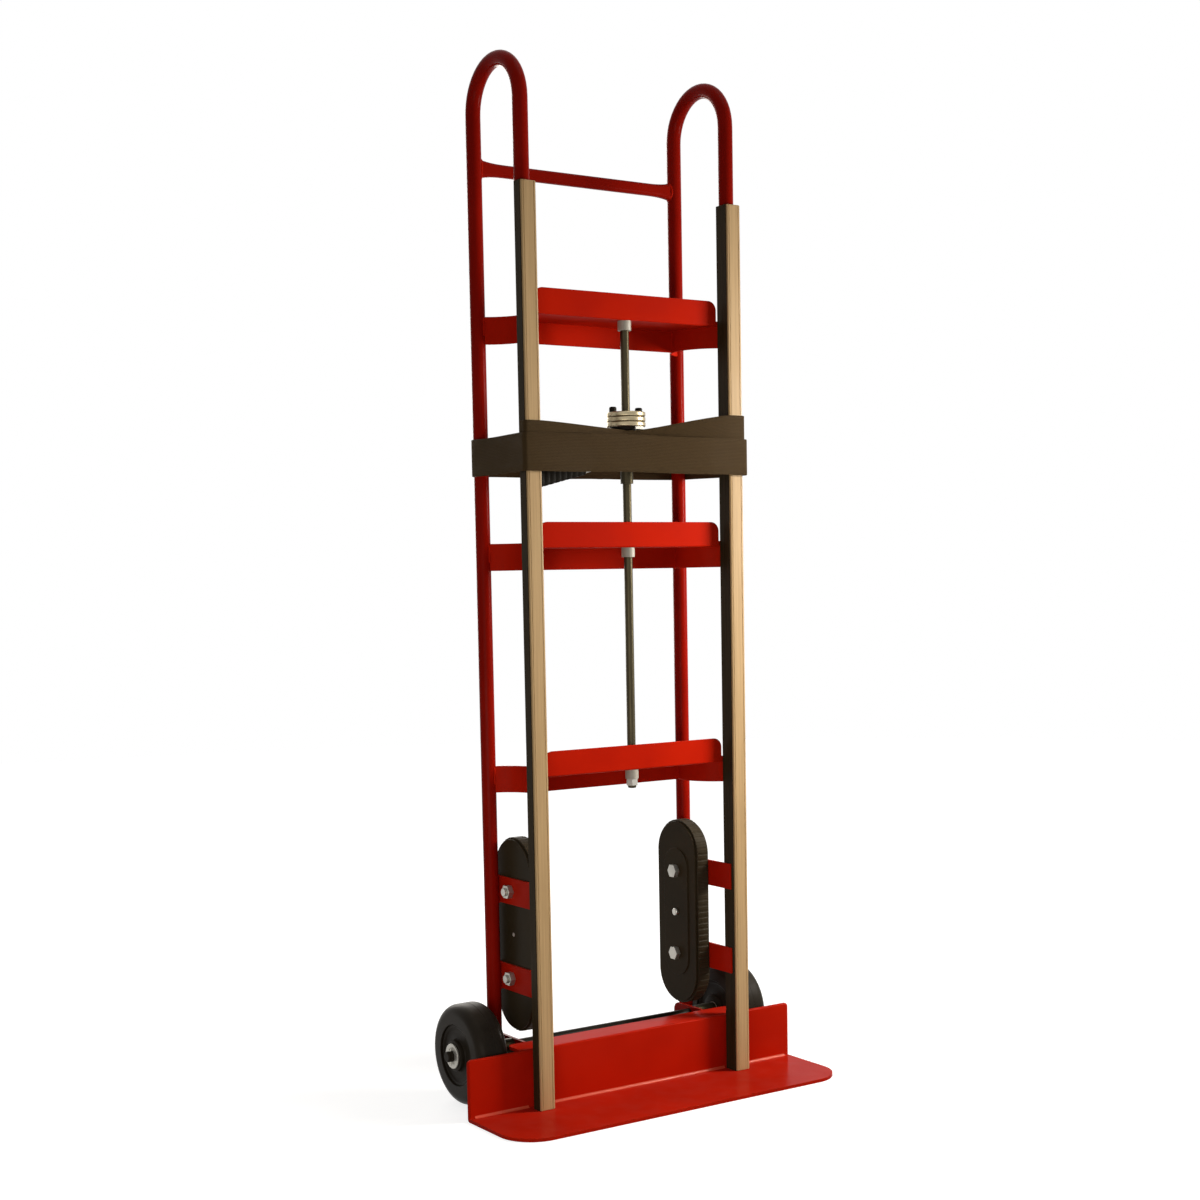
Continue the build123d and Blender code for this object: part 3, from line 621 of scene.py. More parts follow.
def soften(node: str, name: str, width: float, segments: int = 2) -> Piece:
    """Copy a solid's mesh and round its edges.

    Args:
        node: the solid.
        name: the piece's name.
        width: how far the rounding reaches from an edge.
        segments: faces across the rounding.

    Returns:
        The rounded piece.
    """
    work = bmesh.new()
    work.from_mesh(frame["nodes"][node].data)
    bmesh.ops.remove_doubles(work, verts=work.verts, dist=SAME_POINT)
    bmesh.ops.dissolve_limit(work, angle_limit=math.radians(FLAT_TURN), verts=work.verts, edges=work.edges)
    mesh = bpy.data.meshes.new(name)
    work.to_mesh(mesh)
    work.free()
    mesh.shade_smooth()
    made = added(name, mesh)
    edge = made.modifiers.new("edges", "BEVEL")
    edge.width, edge.segments, edge.limit_method = width, segments, "ANGLE"
    edge.angle_limit = math.radians(SHARP_TURN)
    edge.use_clamp_overlap = True
    made.modifiers.new("normals", "WEIGHTED_NORMAL")
    return made


def fit(piece: Piece, body: str, finish: Finish, *nodes: str) -> None:
    """Give a piece its finish and hang it on a body.

    Args:
        piece: the piece.
        body: the body it moves with.
        finish: its finish.
        nodes: the solids that it stands for.
    """
    piece.data.materials.clear()
    piece.data.materials.append(finish.material())
    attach(piece, body)
    if nodes:
        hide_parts(*nodes)
    LOG.info("%s rides on %s in %s", piece.name, body, finish.slot)


def soften_all(nodes: tuple[str, ...], body: str, finish: Finish, width: float) -> None:
    """Round the edges of several solids that share a body and a finish."""
    for node in nodes:
        fit(soften(node, f"{node}_dressed", width), body, finish, node)


@dataclass
class SideFrames:
    """The weld beads that join the bent tubes to the braces, the tie bar, the toe plate and the straps."""

    frame_x: float = 0.180
    rail_y: float = -0.01125
    rear_y: float = 0.12075
    tube_radius: float = 0.0111
    bead: float = 0.0018
    end_share: float = 0.35
    ripple: float = 0.0026
    ripple_share: float = 0.14
    step: float = 0.0009
    brace_heights: tuple[float, ...] = (0.489, 0.820, 1.151)
    brace_turns: Plan = (34.0, 68.0)
    brace_span: Plan = (-0.019, 0.008)
    plate_turns: Plan = (58.0, 122.0)
    plate_span: Plan = (0.012, 0.086)
    bracket_turns: Plan = (-38.0, 38.0)
    bracket_span: Plan = (0.056, 0.084)
    strap_heights: Plan = (0.179, 0.311)
    strap_half: float = 0.0203
    strap_turn: int = 40
    bar_height: float = 1.374
    bar_half: Plan = (0.0066, 0.0131)
    bar_steps: int = 96
    shell: Shell = field(default_factory=Shell)

    def weld(self, path: Ring) -> None:
        """Lay one rippled bead, thin at its ends.

        Args:
            path: the points that it follows.
        """
        total = sum((b - a).length for a, b in zip(path, path[1:]))

        def radius(length: float) -> float:
            """Find the bead's radius.

            Args:
                length: how far along the bead.

            Returns:
                The radius there.
            """
            ends = min(1.0, self.end_share + min(length, max(total - length, 0.0)) / (2 * self.bead))
            wave = self.ripple_share * math.sin(math.tau * length / self.ripple)
            return self.bead * ends * (1.0 + wave)

        self.shell.tube(wire(path, radius))

    def on_tube(self, side: Side, tube_y: float, turn: float, z: float) -> Vector:
        """A point on a tube's skin.

        Args:
            side: which side frame.
            tube_y: the tube's middle.
            turn: degrees round it, from inboard towards the rear.
            z: height.

        Returns:
            The point.
        """
        angle = math.radians(turn)
        inboard = -side.value * math.cos(angle)
        x = side.value * self.frame_x + self.tube_radius * inboard
        return Vector((x, tube_y + self.tube_radius * math.sin(angle), z))

    def seam(self, side: Side, tube_y: float, turn: float, low: float, high: float) -> None:
        """Weld up a tube between two heights."""
        foot, head = (self.on_tube(side, tube_y, turn, z) for z in (low, high))
        self.weld(line(foot, head, self.step))

    def bar_ring(self, side: Side) -> Ring:
        """Follow the joint of the tie bar round the rear tube's skin.

        Args:
            side: which end of the bar.

        Returns:
            The points of the joint.
        """
        ring = []
        for step in range(self.bar_steps + 1):
            angle = math.tau * step / self.bar_steps
            turn = math.degrees(math.asin(self.bar_half[0] * math.cos(angle) / self.tube_radius))
            z = self.bar_height + self.bar_half[1] * math.sin(angle)
            ring.append(self.on_tube(side, self.rear_y, turn, z))
        return ring

    def build(self) -> Piece:
        """Lay every bead.

        Returns:
            The beads.
        """
        for side in Side:
            for base in self.brace_heights:
                low, high = (base + reach for reach in self.brace_span)
                for turn in self.brace_turns:
                    self.seam(side, self.rail_y, turn, low, high)
                    self.seam(side, self.rear_y, -turn, low, high)
            for turn in self.plate_turns:
                self.seam(side, self.rail_y, turn, *self.plate_span)
            for turn in self.bracket_turns:
                self.seam(side, self.rear_y, turn, *self.bracket_span)
            turns = range(-self.strap_turn, self.strap_turn + 2, 3)
            for middle in self.strap_heights:
                for z in (middle - self.strap_half, middle + self.strap_half):
                    self.weld([self.on_tube(side, self.rear_y, turn, z) for turn in turns])
            self.weld(self.bar_ring(side))
        return self.shell.piece("weld_beads", sharp=60.0)

    def dress(self) -> None:
        """Lay the beads and paint them."""
        fit(self.build(), "frame", FRAME_PAINT)


@dataclass
class ToePlate:
    """The bent toe plate, with the hollow of its heel bend between and beside the rails, painted lighter as
    a painted highlight.
    """

    sheet: float = 0.005
    hollow: float = 0.0034
    sink: float = 0.0004
    stretches: tuple[Plan, ...] = ((-0.286, -0.1955), (-0.1650, 0.1650), (0.1955, 0.286))
    steps: int = 8
    edge: float = 0.0009

    def build(self) -> Piece:
        """Lay the hollow along the heel.

        Returns:
            The hollow of the bend, in three stretches.
        """
        section = [(self.sink, self.sheet - self.sink)]
        for step in range(self.steps + 1):
            angle = math.radians(90.0 * step / self.steps - 90.0)
            out, up = self.hollow * (math.cos(angle) - 1.0), self.hollow * (math.sin(angle) + 1.0)
            section.append((out, self.sheet + up))
        shell = Shell()
        for start, end in self.stretches:
            shell.tube([[Vector((x, y, z)) for y, z in section] for x in (start, end)])
        return shell.piece("heel_hollow_highlight", sharp=40.0)

    def dress(self) -> None:
        """Round the plate's edges and paint both, the hollow of the heel in a lighter copy of the toe paint
        that is a painted highlight.
        """
        soften_all(("toe_plate",), "frame", TOE_PAINT, self.edge)
        fit(self.build(), "frame", HEEL_HIGHLIGHT_PAINT)


@dataclass
class CrossBraces:
    """The three stamped braces between the side frames."""

    levels: tuple[str, ...] = ("lower", "middle", "upper")
    edge: float = 0.0007

    def dress(self) -> None:
        """Round the braces' edges and paint them."""
        soften_all(tuple(f"{level}_cross_brace" for level in self.levels), "frame", FRAME_PAINT, self.edge)


@dataclass
class RailFacings:
    """The tan pad in each rail's channel, with a fine groove along each edge."""

    groove_from_edge: float = 0.0034
    groove_half: float = 0.0005
    groove_depth: float = 0.0008
    middle_share: float = 0.45
    corner: float = 0.0012
    corner_share: float = 0.3
    end_chamfer: float = 0.0009
    channel_edge: float = 0.0004

    def section(self, half: float, depth: float) -> list[Plan]:
        """Half of the pad's section mirrored into the whole.

        Args:
            half: half its width.
            depth: its thickness.

        Returns:
            Points across and out from the seat.
        """
        groove, cut = half - self.groove_from_edge, self.corner * self.corner_share
        right = [
            (half * self.middle_share, depth),
            (groove - self.groove_half, depth),
            (groove, depth - self.groove_depth),
            (groove + self.groove_half, depth),
            (half - self.corner, depth),
            (half - cut, depth - cut),
            (half, depth - self.corner),
            (half, 0.0),
        ]
        return [(-across, out) for across, out in reversed(right)] + [(0.0, depth)] + right

    def build(self, side: Side) -> Piece:
        """Make one pad.

        Args:
            side: which rail.

        Returns:
            The pad.
        """
        low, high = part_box(f"{side.word}_rail_pad")
        middle, half, depth = (low.x + high.x) / 2, (high.x - low.x) / 2, high.y - low.y
        section = self.section(half, depth)
        rings = []
        for z, shrink in (
            (low.z, self.end_chamfer), (low.z + self.end_chamfer, 0.0),
            (high.z - self.end_chamfer, 0.0), (high.z, self.end_chamfer),
        ):
            share = 1.0 - shrink / half
            places = [(middle + x * share, high.y - max(out - shrink, 0.0)) for x, out in section]
            rings.append([Vector((x, y, z)) for x, y in places])
        return Shell().tube(rings).piece(f"{side.word}_tan_pad", sharp=30.0)

    def dress(self) -> None:
        """Make and fit both pads, and round the channels."""
        for side in Side:
            fit(self.build(side), "frame", PAD, f"{side.word}_rail_pad")
            soften_all((f"{side.word}_rail_channel",), "frame", CHANNEL, self.channel_edge)


@dataclass
class Wheel:
    """A tyre with round shoulders on a dished hub."""

    side: Side
    axle_y: float = 0.090
    axle_z: float = 0.075
    middle_x: float = 0.240
    half_width: float = 0.026
    radius: float = 0.075
    shoulder: float = 0.015
    wall_gap: float = 0.0002
    bead_radius: float = 0.0460
    mould_line: tuple[Plan, ...] = ((0.0062, 0.0), (0.0005, 0.00005), (0.0002, 0.0004))
    bore: float = 0.01215
    lip: float = 0.0006
    boss_half: float = 0.029
    boss_edge: tuple[Plan, ...] = ((0.029, 0.0216), (0.0286, 0.0226), (0.0276, 0.023))
    dish: tuple[Plan, ...] = (
        (0.0232, 0.0234), (0.0214, 0.0248), (0.0206, 0.0272), (0.0206, 0.0384), (0.0212, 0.0400),
        (0.0226, 0.0412), (0.0230, 0.0424), (0.0230, 0.0450), (0.0224, 0.04595),
    )
    arc_steps: int = 12
    round_steps: int = 120

    def tyre_half(self) -> list[Plan]:
        """Half of the tyre's section, from the bead over the shoulder to the middle of the tread.

        Returns:
            Places along the axle from the wheel's middle, and out from the axle.
        """
        wide, edge, bead = self.half_width, self.shoulder, self.bead_radius
        wall = self.radius - edge
        half = [(wide - self.lip, bead), (wide, bead + self.lip), (wide, wall - self.wall_gap)]
        for step in range(1, self.arc_steps + 1):
            angle = math.radians(90.0 * step / self.arc_steps)
            half.append((wide - edge + edge * math.cos(angle), wall + edge * math.sin(angle)))
        return half + [(along, self.radius - sunk) for along, sunk in self.mould_line]

    def hub_half(self) -> list[Plan]:
        """Half of the hub's section: a boss, a dish and a flat rim."""
        bore = [(self.boss_half - self.lip, self.bore), (self.boss_half, self.bore + self.lip)]
        return [*bore, *self.boss_edge, *self.dish]

    def build(self, name: str, half: list[Plan]) -> Piece:
        """Mirror half a section across the wheel and turn it round the axle.

        Args:
            name: which ring of the wheel it is.
            half: places along the axle from the wheel's middle, and out from the axle.

        Returns:
            The turned ring.
        """
        profile = [(-along, reach) for along, reach in half] + half[::-1]
        centre = Vector((self.side.value * self.middle_x, self.axle_y, self.axle_z))
        axis = Vector((1.0, 0.0, 0.0))
        front = axis.orthogonal().normalized()
        above = axis.cross(front)
        rings = []
        for step in range(self.round_steps):
            angle = math.tau * step / self.round_steps
            out = front * math.cos(angle) + above * math.sin(angle)
            rings.append([centre + axis * along + out * reach for along, reach in profile])
        return Shell().tube(rings, closed=True).piece(f"{self.side.word}_{name}_dressed", sharp=32.0)

    def dress(self) -> None:
        """Fit the tyre and the hub on their wheel."""
        for name, half, finish in (("tyre", self.tyre_half(), TYRE), ("hub", self.hub_half(), HUB)):
            fit(self.build(name, half), f"{self.side.word}_wheel", finish, f"{self.side.word}_{name}")


@dataclass
class AxleSet:
    """What keeps the wheels on: washers with rounded rims, and split pins with spread legs."""

    pin_x: float = 0.275
    axle_y: float = 0.090
    axle_z: float = 0.075
    wire_radius: float = 0.00095
    wire_sides: int = 10
    leg_low: float = 0.0625
    leg_bend: tuple[Plan, ...] = ((3.2, 0.0), (1.6, 0.0024), (1.0, 0.0048))
    loop_z: float = 0.0850
    loop_drop: float = 0.0028
    loop_radius: float = 0.0026
    loop_turn: Plan = (-58.0, 238.0)
    loop_steps: int = 14
    washer_edge: float = 0.0006

    def pin_path(self, side: Side) -> Ring:
        """The bent wire of one split pin.

        Args:
            side: which end of the axle.

        Returns:
            The points that it follows.
        """
        gap, reach, (first, last) = self.wire_radius, self.loop_radius, self.loop_turn
        leg = [(spread * gap, self.leg_low + rise) for spread, rise in self.leg_bend]
        leg += [(gap, self.axle_z), (gap, self.loop_z - self.loop_drop)]
        loop = []
        for step in range(self.loop_steps + 1):
            angle = math.radians(first + (last - first) * step / self.loop_steps)
            loop.append((reach * math.cos(angle), self.loop_z + reach * math.sin(angle)))
        other = [(-y, z) for y, z in reversed(leg)]
        return [Vector((side.value * self.pin_x, self.axle_y + y, z)) for y, z in leg + loop + other]

    def build(self) -> Piece:
        """Bend both split pins.

        Returns:
            The pins.
        """
        shell = Shell()
        for side in Side:
            shell.tube(wire(self.pin_path(side), lambda length: self.wire_radius, self.wire_sides))
        return shell.piece("split_pins_dressed", sharp=60.0)

    def dress(self) -> None:
        """Fit the pins and round the washers."""
        fit(self.build(), "frame", ZINC, "split_pins")
        soften_all(("axle_washers",), "frame", ZINC, self.washer_edge)


@dataclass
class Fasteners:
    """The nuts and bolts of the guide rod and the glides."""

    nodes: tuple[str, ...] = ("rod_nuts", "glide_bolts", "glide_nuts")
    edge: float = 0.0007

    def dress(self) -> None:
        """Round their edges and plate them."""
        soften_all(self.nodes, "frame", ZINC, self.edge)


@dataclass
class StairGlide:
    """One stair glide: a lugged belt between two rounded plates, on its straps."""

    side: Side
    middle_y: float = 0.084
    middle_z: float = 0.245
    straight: float = 0.190
    outer: float = 0.052
    thick: float = 0.006
    lugs: int = 78
    lug_depth: float = 0.0006
    lug_shape: tuple[Plan, ...] = ((0.0, 1.0), (0.26, 1.0), (0.36, 0.0), (0.90, 0.0))
    belt_edge: float = 0.0006
    plate_edge: float = 0.0009
    sheet_edge: float = 0.0006

    def on_oval(self, share: float, reach: float) -> Plan:
        """A place on the oval.

        Args:
            share: how far round it, from 0 to 1.
            reach: distance out from the middle line of the oval.

        Returns:
            The place, as y and z.
        """
        half, lap = self.straight / 2, self.straight + math.pi * self.outer
        at = share % 1.0 * 2 * lap
        way = -1 if at < lap else 1
        at %= lap
        if at < self.straight:
            return self.middle_y + way * reach, self.middle_z + way * (half - at)
        angle = (at - self.straight) / self.outer
        rise = half + reach * math.sin(angle)
        return self.middle_y + way * reach * math.cos(angle), self.middle_z - way * rise

    def build(self) -> Piece:
        """Make the belt with its lugs.

        Returns:
            The belt.
        """
        low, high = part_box(f"{self.side.word}_glide_belt")
        rings = []
        for lug in range(self.lugs):
            for share, sunk in self.lug_shape:
                at, top = (lug + share) / self.lugs, self.outer - sunk * self.lug_depth
                inner, rim = self.outer - self.thick, top - self.belt_edge
                section = [(low.x, inner), (low.x, rim), (low.x + self.belt_edge, top)]
                section += [(high.x - self.belt_edge, top), (high.x, rim), (high.x, inner)]
                rings.append([Vector((x, *self.on_oval(at, reach))) for x, reach in section])
        return Shell().tube(rings, closed=True).piece(f"{self.side.word}_lugged_belt", sharp=25.0)

    def dress(self) -> None:
        """Fit the belt, and round the plates, the straps and the bracket of the axle."""
        word = self.side.word
        plates = (f"{word}_glide_inner_plate", f"{word}_glide_outer_plate")
        fit(self.build(), "frame", BELT, f"{word}_glide_belt")
        soften_all(plates, "frame", GLIDE_PLATE, self.plate_edge)
        soften_all((f"{word}_glide_straps",), "frame", FRAME_PAINT, self.sheet_edge)
        # The axle bracket takes the darker copy of the frame paint, a painted shade.
        soften_all((f"{word}_axle_bracket",), "frame", SHADED_FRAME_PAINT, self.sheet_edge)


@dataclass
class Tightener:
    """The lever's ribbed grip, and rounded metal on the head."""

    tip_x: float = -0.153
    root_x: float = -0.066
    tip_z: float = 0.917
    slope: float = 0.25
    middle_y: float = 0.0155
    half_thick: float = 0.0055
    half_deep: float = 0.012
    ribs: int = 9
    rib_depth: float = 0.0009
    rib_shape: tuple[float, ...] = (0.0, 0.0, 0.25, 1.0, 0.25, 0.0)
    tip_share: float = 0.045
    tip_round: float = 0.003
    root_round: float = 0.001
    corners: int = 20
    squareness: float = 0.55
    sheet_edge: float = 0.0006
    head_edge: float = 0.0008

    def build(self) -> Piece:
        """Make the grip.

        Returns:
            The grip.
        """
        section = []
        for spot in range(self.corners):
            angle = math.tau * spot / self.corners
            way = (math.cos(angle), math.sin(angle))
            section.append(tuple(math.copysign(abs(part) ** self.squareness, part) for part in way))
        rings = []
        per_rib = len(self.rib_shape)
        steps = self.ribs * per_rib
        for step in range(steps + 1):
            share = step / steps
            x = self.root_x + (self.tip_x - self.root_x) * share
            z = self.tip_z + self.slope * (x - self.tip_x)
            past = max(0.0, (share - 1.0) / self.tip_share + 1.0)
            dip = self.rib_depth * self.rib_shape[step % per_rib] + self.tip_round * past**2
            dip += self.root_round * (step == 0)
            thick, deep = self.half_thick - dip, self.half_deep - dip
            places = [(self.middle_y + thick * wide, z + deep * tall) for wide, tall in section]
            rings.append([Vector((x, *place)) for place in places])
        return Shell().tube(rings).piece("ribbed_grip", sharp=50.0)

    def dress(self) -> None:
        """Fit the grip, and round the lever and the pawl box."""
        fit(self.build(), "lever", GRIP, "lever_grip")
        soften_all(("lever_arm", "pawl_box"), "lever", ZINC, self.sheet_edge)
        soften_all(("lever_head",), "lever", BLACK_METAL, self.head_edge)


@dataclass
class LoadStrap:
    """The webbing: a stitched loop round the frame, a run from rail to rail, and the turns on the spool."""

    width: float = 0.054
    thick: float = 0.0022
    selvedge: float = 0.0011
    rim_share: float = 0.35
    rib_share: float = 0.55
    loop_bottom: float = 0.928
    loop_step: float = 0.012
    rear: Triple = (0.180, 0.12075, 0.0)
    rear_round: float = 0.0127
    corner: Triple = (0.19305, -0.0287, 0.0)
    corner_round: float = 0.0052
    bend_steps: int = 12
    sway: tuple[Triple, ...] = ((0.0007, 14.0, 0.0), (0.0004, 34.0, 1.0))
    lap: float = 0.045
    lap_lift: float = 1.05
    lap_settle: float = 0.04
    stitch: float = 0.0048
    stitch_box: Plan = (0.82, 0.36)
    stitch_out: float = 0.0036
    stitch_sunk: float = 0.0011
    stitch_shape: tuple[Plan, ...] = ((0.08, 1.0), (0.25, 0.0), (0.55, 0.0), (0.72, 1.0))
    thread: float = 0.0005
    thread_sides: int = 6
    run_bottom: float = 0.9365
    run_steps: int = 18
    run_start: float = 0.002
    run_reach: float = 0.0165
    run_lean: float = 0.06
    run_ease: Plan = (0.25, 0.3)
    rises: Plan = (0.0085, 0.0265)
    rail_face: float = -0.0311
    rail_inner: float = 0.16675
    rail_outer: float = 0.19485
    rail_steps: int = 3
    rail_turn: float = 0.0034
    turn_steps: int = 8
    tail: float = 0.0145
    rod_y: float = 0.003
    wind_reach: Plan = (0.0111, 0.0139)
    wind_turn: Plan = (-90.0, 500.0)
    wind_steps: int = 72
    wind_narrower: float = 0.0014
    wind_wave: Plan = (0.0006, 3.0)

    def ribbon(self, path: Path, name: str, width: float | None = None) -> Piece:
        """Lay flat webbing along a path.

        Args:
            path: the webbing's middle points, each with its outward normal.
            name: the piece's name.
            width: its width, or the strap's own.

        Returns:
            The webbing.
        """
        half, thin = (width or self.width) / 2, self.thick / 2
        rim, rib = thin * self.rim_share, half * self.rib_share
        across = [self.selvedge - half, -rib, 0.0, rib, half - self.selvedge]
        section = [(-half, -rim)] + [(a, -thin) for a in across] + [(half, -rim)]
        section += [(a, -b) for a, b in reversed(section)]
        rings, laid, length = [], [], 0.0
        for index, (point, out) in enumerate(path):
            before, after = path[max(index - 1, 0)][0], path[min(index + 1, len(path) - 1)][0]
            length += (point - before).length
            ahead = (after - before).normalized()
            up = out.cross(ahead).normalized()
            up = up if up.z > 0 else -up
            rings.append([point + up * a + out * b for a, b in section])
            laid.append([(length, a + half) for a, b in section])
        return Shell().tube(rings, laid=laid).piece(name, sharp=40.0)

    def loop_plan(self) -> Path:
        """The loop seen from above, from the left of the back round the front to the right of the back.

        Returns:
            Places at height nought with their outward normals.
        """
        rear, corner = Vector(self.rear), Vector(self.corner)
        apart = rear - corner
        lean = math.atan2(apart.y, apart.x)
        tilt = lean - math.acos((self.corner_round - self.rear_round) / apart.length)
        half = []
        for first, last, middle, reach in (
            (-math.pi / 2, tilt, corner, self.corner_round),
            (tilt, math.pi / 2, rear, self.rear_round),
        ):
            for step in range(self.bend_steps + 1):
                angle = first + (last - first) * step / self.bend_steps
                out = Vector((math.cos(angle), math.sin(angle), 0.0))
                half.append((middle + out * reach, out))
        return [(place * MIRROR, out * MIRROR) for place, out in reversed(half)] + half

    def filled(self, corners: Path) -> Path:
        """Add places along the straight stretches of a plan.

        Args:
            corners: places with their normals.

        Returns:
            The fuller plan.
        """
        full = [corners[0]]
        for (here, out), (there, next_out) in zip(corners, corners[1:]):
            count = max(1, round((there - here).length / self.loop_step))
            for index in range(1, count + 1):
                full.append((here.lerp(there, index / count), out.lerp(next_out, index / count)))
        return full

    def build_loop(self) -> Piece:
        """Make the loop, with its lapped end at the back.

        Returns:
            The loop.
        """
        back_y = self.rear[1] + self.rear_round
        start, end = ((Vector((x, back_y, 0.0)), Vector((0.0, 1.0, 0.0))) for x in (self.lap, -self.lap))
        places = self.filled([start, end, *self.loop_plan(), start, end])
        path, length, before = [], 0.0, places[0][0]
        for place, leaning in places:
            length += (place - before).length
            before = place
            settled = (length - 2 * self.lap) / self.lap_settle
            lift = self.thick * self.lap_lift * min(1.0, max(0.0, 1.0 - settled))
            sway = sum(size * math.sin(length * pace + phase) for size, pace, phase in self.sway)
            out = leaning.normalized()
            height = Vector((0.0, 0.0, self.loop_bottom + self.width / 2 + sway))
            path.append((place + height + out * lift, out))
        return self.ribbon(path, "strap_loop_webbing")

    def build_stitches(self) -> Piece:
        """Sew the lap: a box of stitches with a cross in it.

        Returns:
            The stitches.
        """
        y, middle = self.rear[1] + self.rear_round + self.stitch_out, self.loop_bottom + self.width / 2
        wide, tall = self.lap * self.stitch_box[0], self.width * self.stitch_box[1]
        box = ((-wide, -tall), (wide, -tall), (wide, tall), (-wide, tall))
        corners = [Vector((x, y, middle + z)) for x, z in box]
        seams = list(zip(corners, corners[1:] + corners[:1]))
        seams += [(corners[0], corners[2]), (corners[1], corners[3])]
        inward = Vector((0.0, -self.stitch_sunk, 0.0))
        shell = Shell()
        for start, end in seams:
            count = round((end - start).length / self.stitch)
            for index in range(count):
                shape = [((index + part) / count, sunk) for part, sunk in self.stitch_shape]
                path = [start.lerp(end, share) + inward * sunk for share, sunk in shape]
                shell.tube(wire(path, lambda length: self.thread, self.thread_sides))
        return shell.piece("strap_stitches", sharp=60.0)

    def half_run(self, side: int, rise: float) -> Path:
        """Follow the run from the spool to one rail, over the rail's face and back along its outer side.

        Args:
            side: minus one for the left rail, one for the right rail.
            rise: how much higher the run is at the rail than at the spool.

        Returns:
            The run's middle points with their outward normals.
        """
        middle, face, turn = self.run_bottom + self.width / 2, self.rail_face, self.rail_turn
        spool_y, edge = self.rod_y - self.run_reach, self.rail_outer - turn
        path = []
        for step in range(1, self.run_steps + 1):
            share = step / self.run_steps
            ease = share * share * (3 - 2 * share)
            share_y, share_z = (soft * ease + (1 - soft) * share for soft in self.run_ease)
            x = side * (self.run_start + (self.rail_inner - self.run_start) * share)
            out = Vector((side * self.run_lean * (1 - share), -1.0, 0.0)).normalized()
            path.append((Vector((x, spool_y + (face - spool_y) * share_y, middle + rise * share_z)), out))
        shares = [step / self.rail_steps for step in range(1, self.rail_steps + 1)]
        angles = [math.radians(90.0 * step / self.turn_steps) for step in range(1, self.turn_steps + 1)]
        places = [(self.rail_inner + (edge - self.rail_inner) * b, face, 0.0) for b in shares]
        places += [(edge + turn * math.sin(a), face + turn - turn * math.cos(a), a) for a in angles]
        places += [(self.rail_outer, face + turn + (self.tail - turn) * b, angles[-1]) for b in shares]
        for x, y, angle in places:
            out = Vector((side * math.sin(angle), -math.cos(angle), 0.0))
            path.append((Vector((side * x, y, middle + rise)), out))
        return path

    def build_run(self) -> Piece:
        """Make the run from the left rail past the spool to the right rail."""
        left, right = (self.half_run(side.value, rise) for side, rise in zip(Side, self.rises))
        return self.ribbon(left[::-1] + right, "strap_rail_run")

    def build_turns(self) -> Piece:
        """Wind the turns on the spool.

        Returns:
            The turns.
        """
        (inner, outer), (first, last), (wave, waves) = self.wind_reach, self.wind_turn, self.wind_wave
        path = []
        for step in range(self.wind_steps + 1):
            share = step / self.wind_steps
            angle = math.radians(first + (last - first) * share)
            out = Vector((math.cos(angle), math.sin(angle), 0.0))
            z = self.run_bottom + self.width / 2 + wave * math.sin(waves * angle)
            path.append((Vector((0.0, self.rod_y, z)) + out * (inner + (outer - inner) * share), out))
        return self.ribbon(path, "strap_turns", self.width - self.wind_narrower)

    def dress(self) -> None:
        """Fit all the webbing on the tightener, which carries it."""
        fit(self.build_loop(), "tightener", WEBBING, "strap_loop")
        fit(self.build_stitches(), "tightener", THREAD)
        fit(self.build_run(), "tightener", WEBBING, "left_strap_run", "right_strap_run")
        fit(self.build_turns(), "tightener", WEBBING, "strap_winding")


@dataclass(frozen=True)
class Lamp:
    """One soft lamp, which points at a height on the truck's upright axis."""

    name: str
    place: Triple
    aim: float
    size: Plan
    watts: float
    beam: float = 180.0
    colour: Colour = (1.0, 0.95, 0.87)

    def hang(self) -> None:
        """Hang the lamp."""
        data = bpy.data.lights.new(self.name, "AREA")
        data.shape, data.energy, data.color = "RECTANGLE", self.watts, self.colour
        data.size, data.size_y = self.size
        data.spread = math.radians(self.beam)
        made = added(self.name, data)
        made.location = self.place
        made.rotation_mode = "QUATERNION"
        towards = Vector((0.0, 0.0, self.aim)) - Vector(self.place)
        made.rotation_quaternion = towards.to_track_quat("-Z", "Y")


LAMPS = (
    Lamp("key", (0.97, -0.58, 1.0), 0.55, (0.35, 0.6), 10.6, 120.0),
    Lamp("fill", (-1.3, -1.3, 0.42), 0.2, (1.2, 0.6), 8.5),
    Lamp("back", (0.4, 2.4, 1.3), 0.7, (1.6, 1.6), 38.0),
    Lamp("top", (0.3, -0.5, 3.0), 0.5, (1.0, 1.0), 6.0),
)


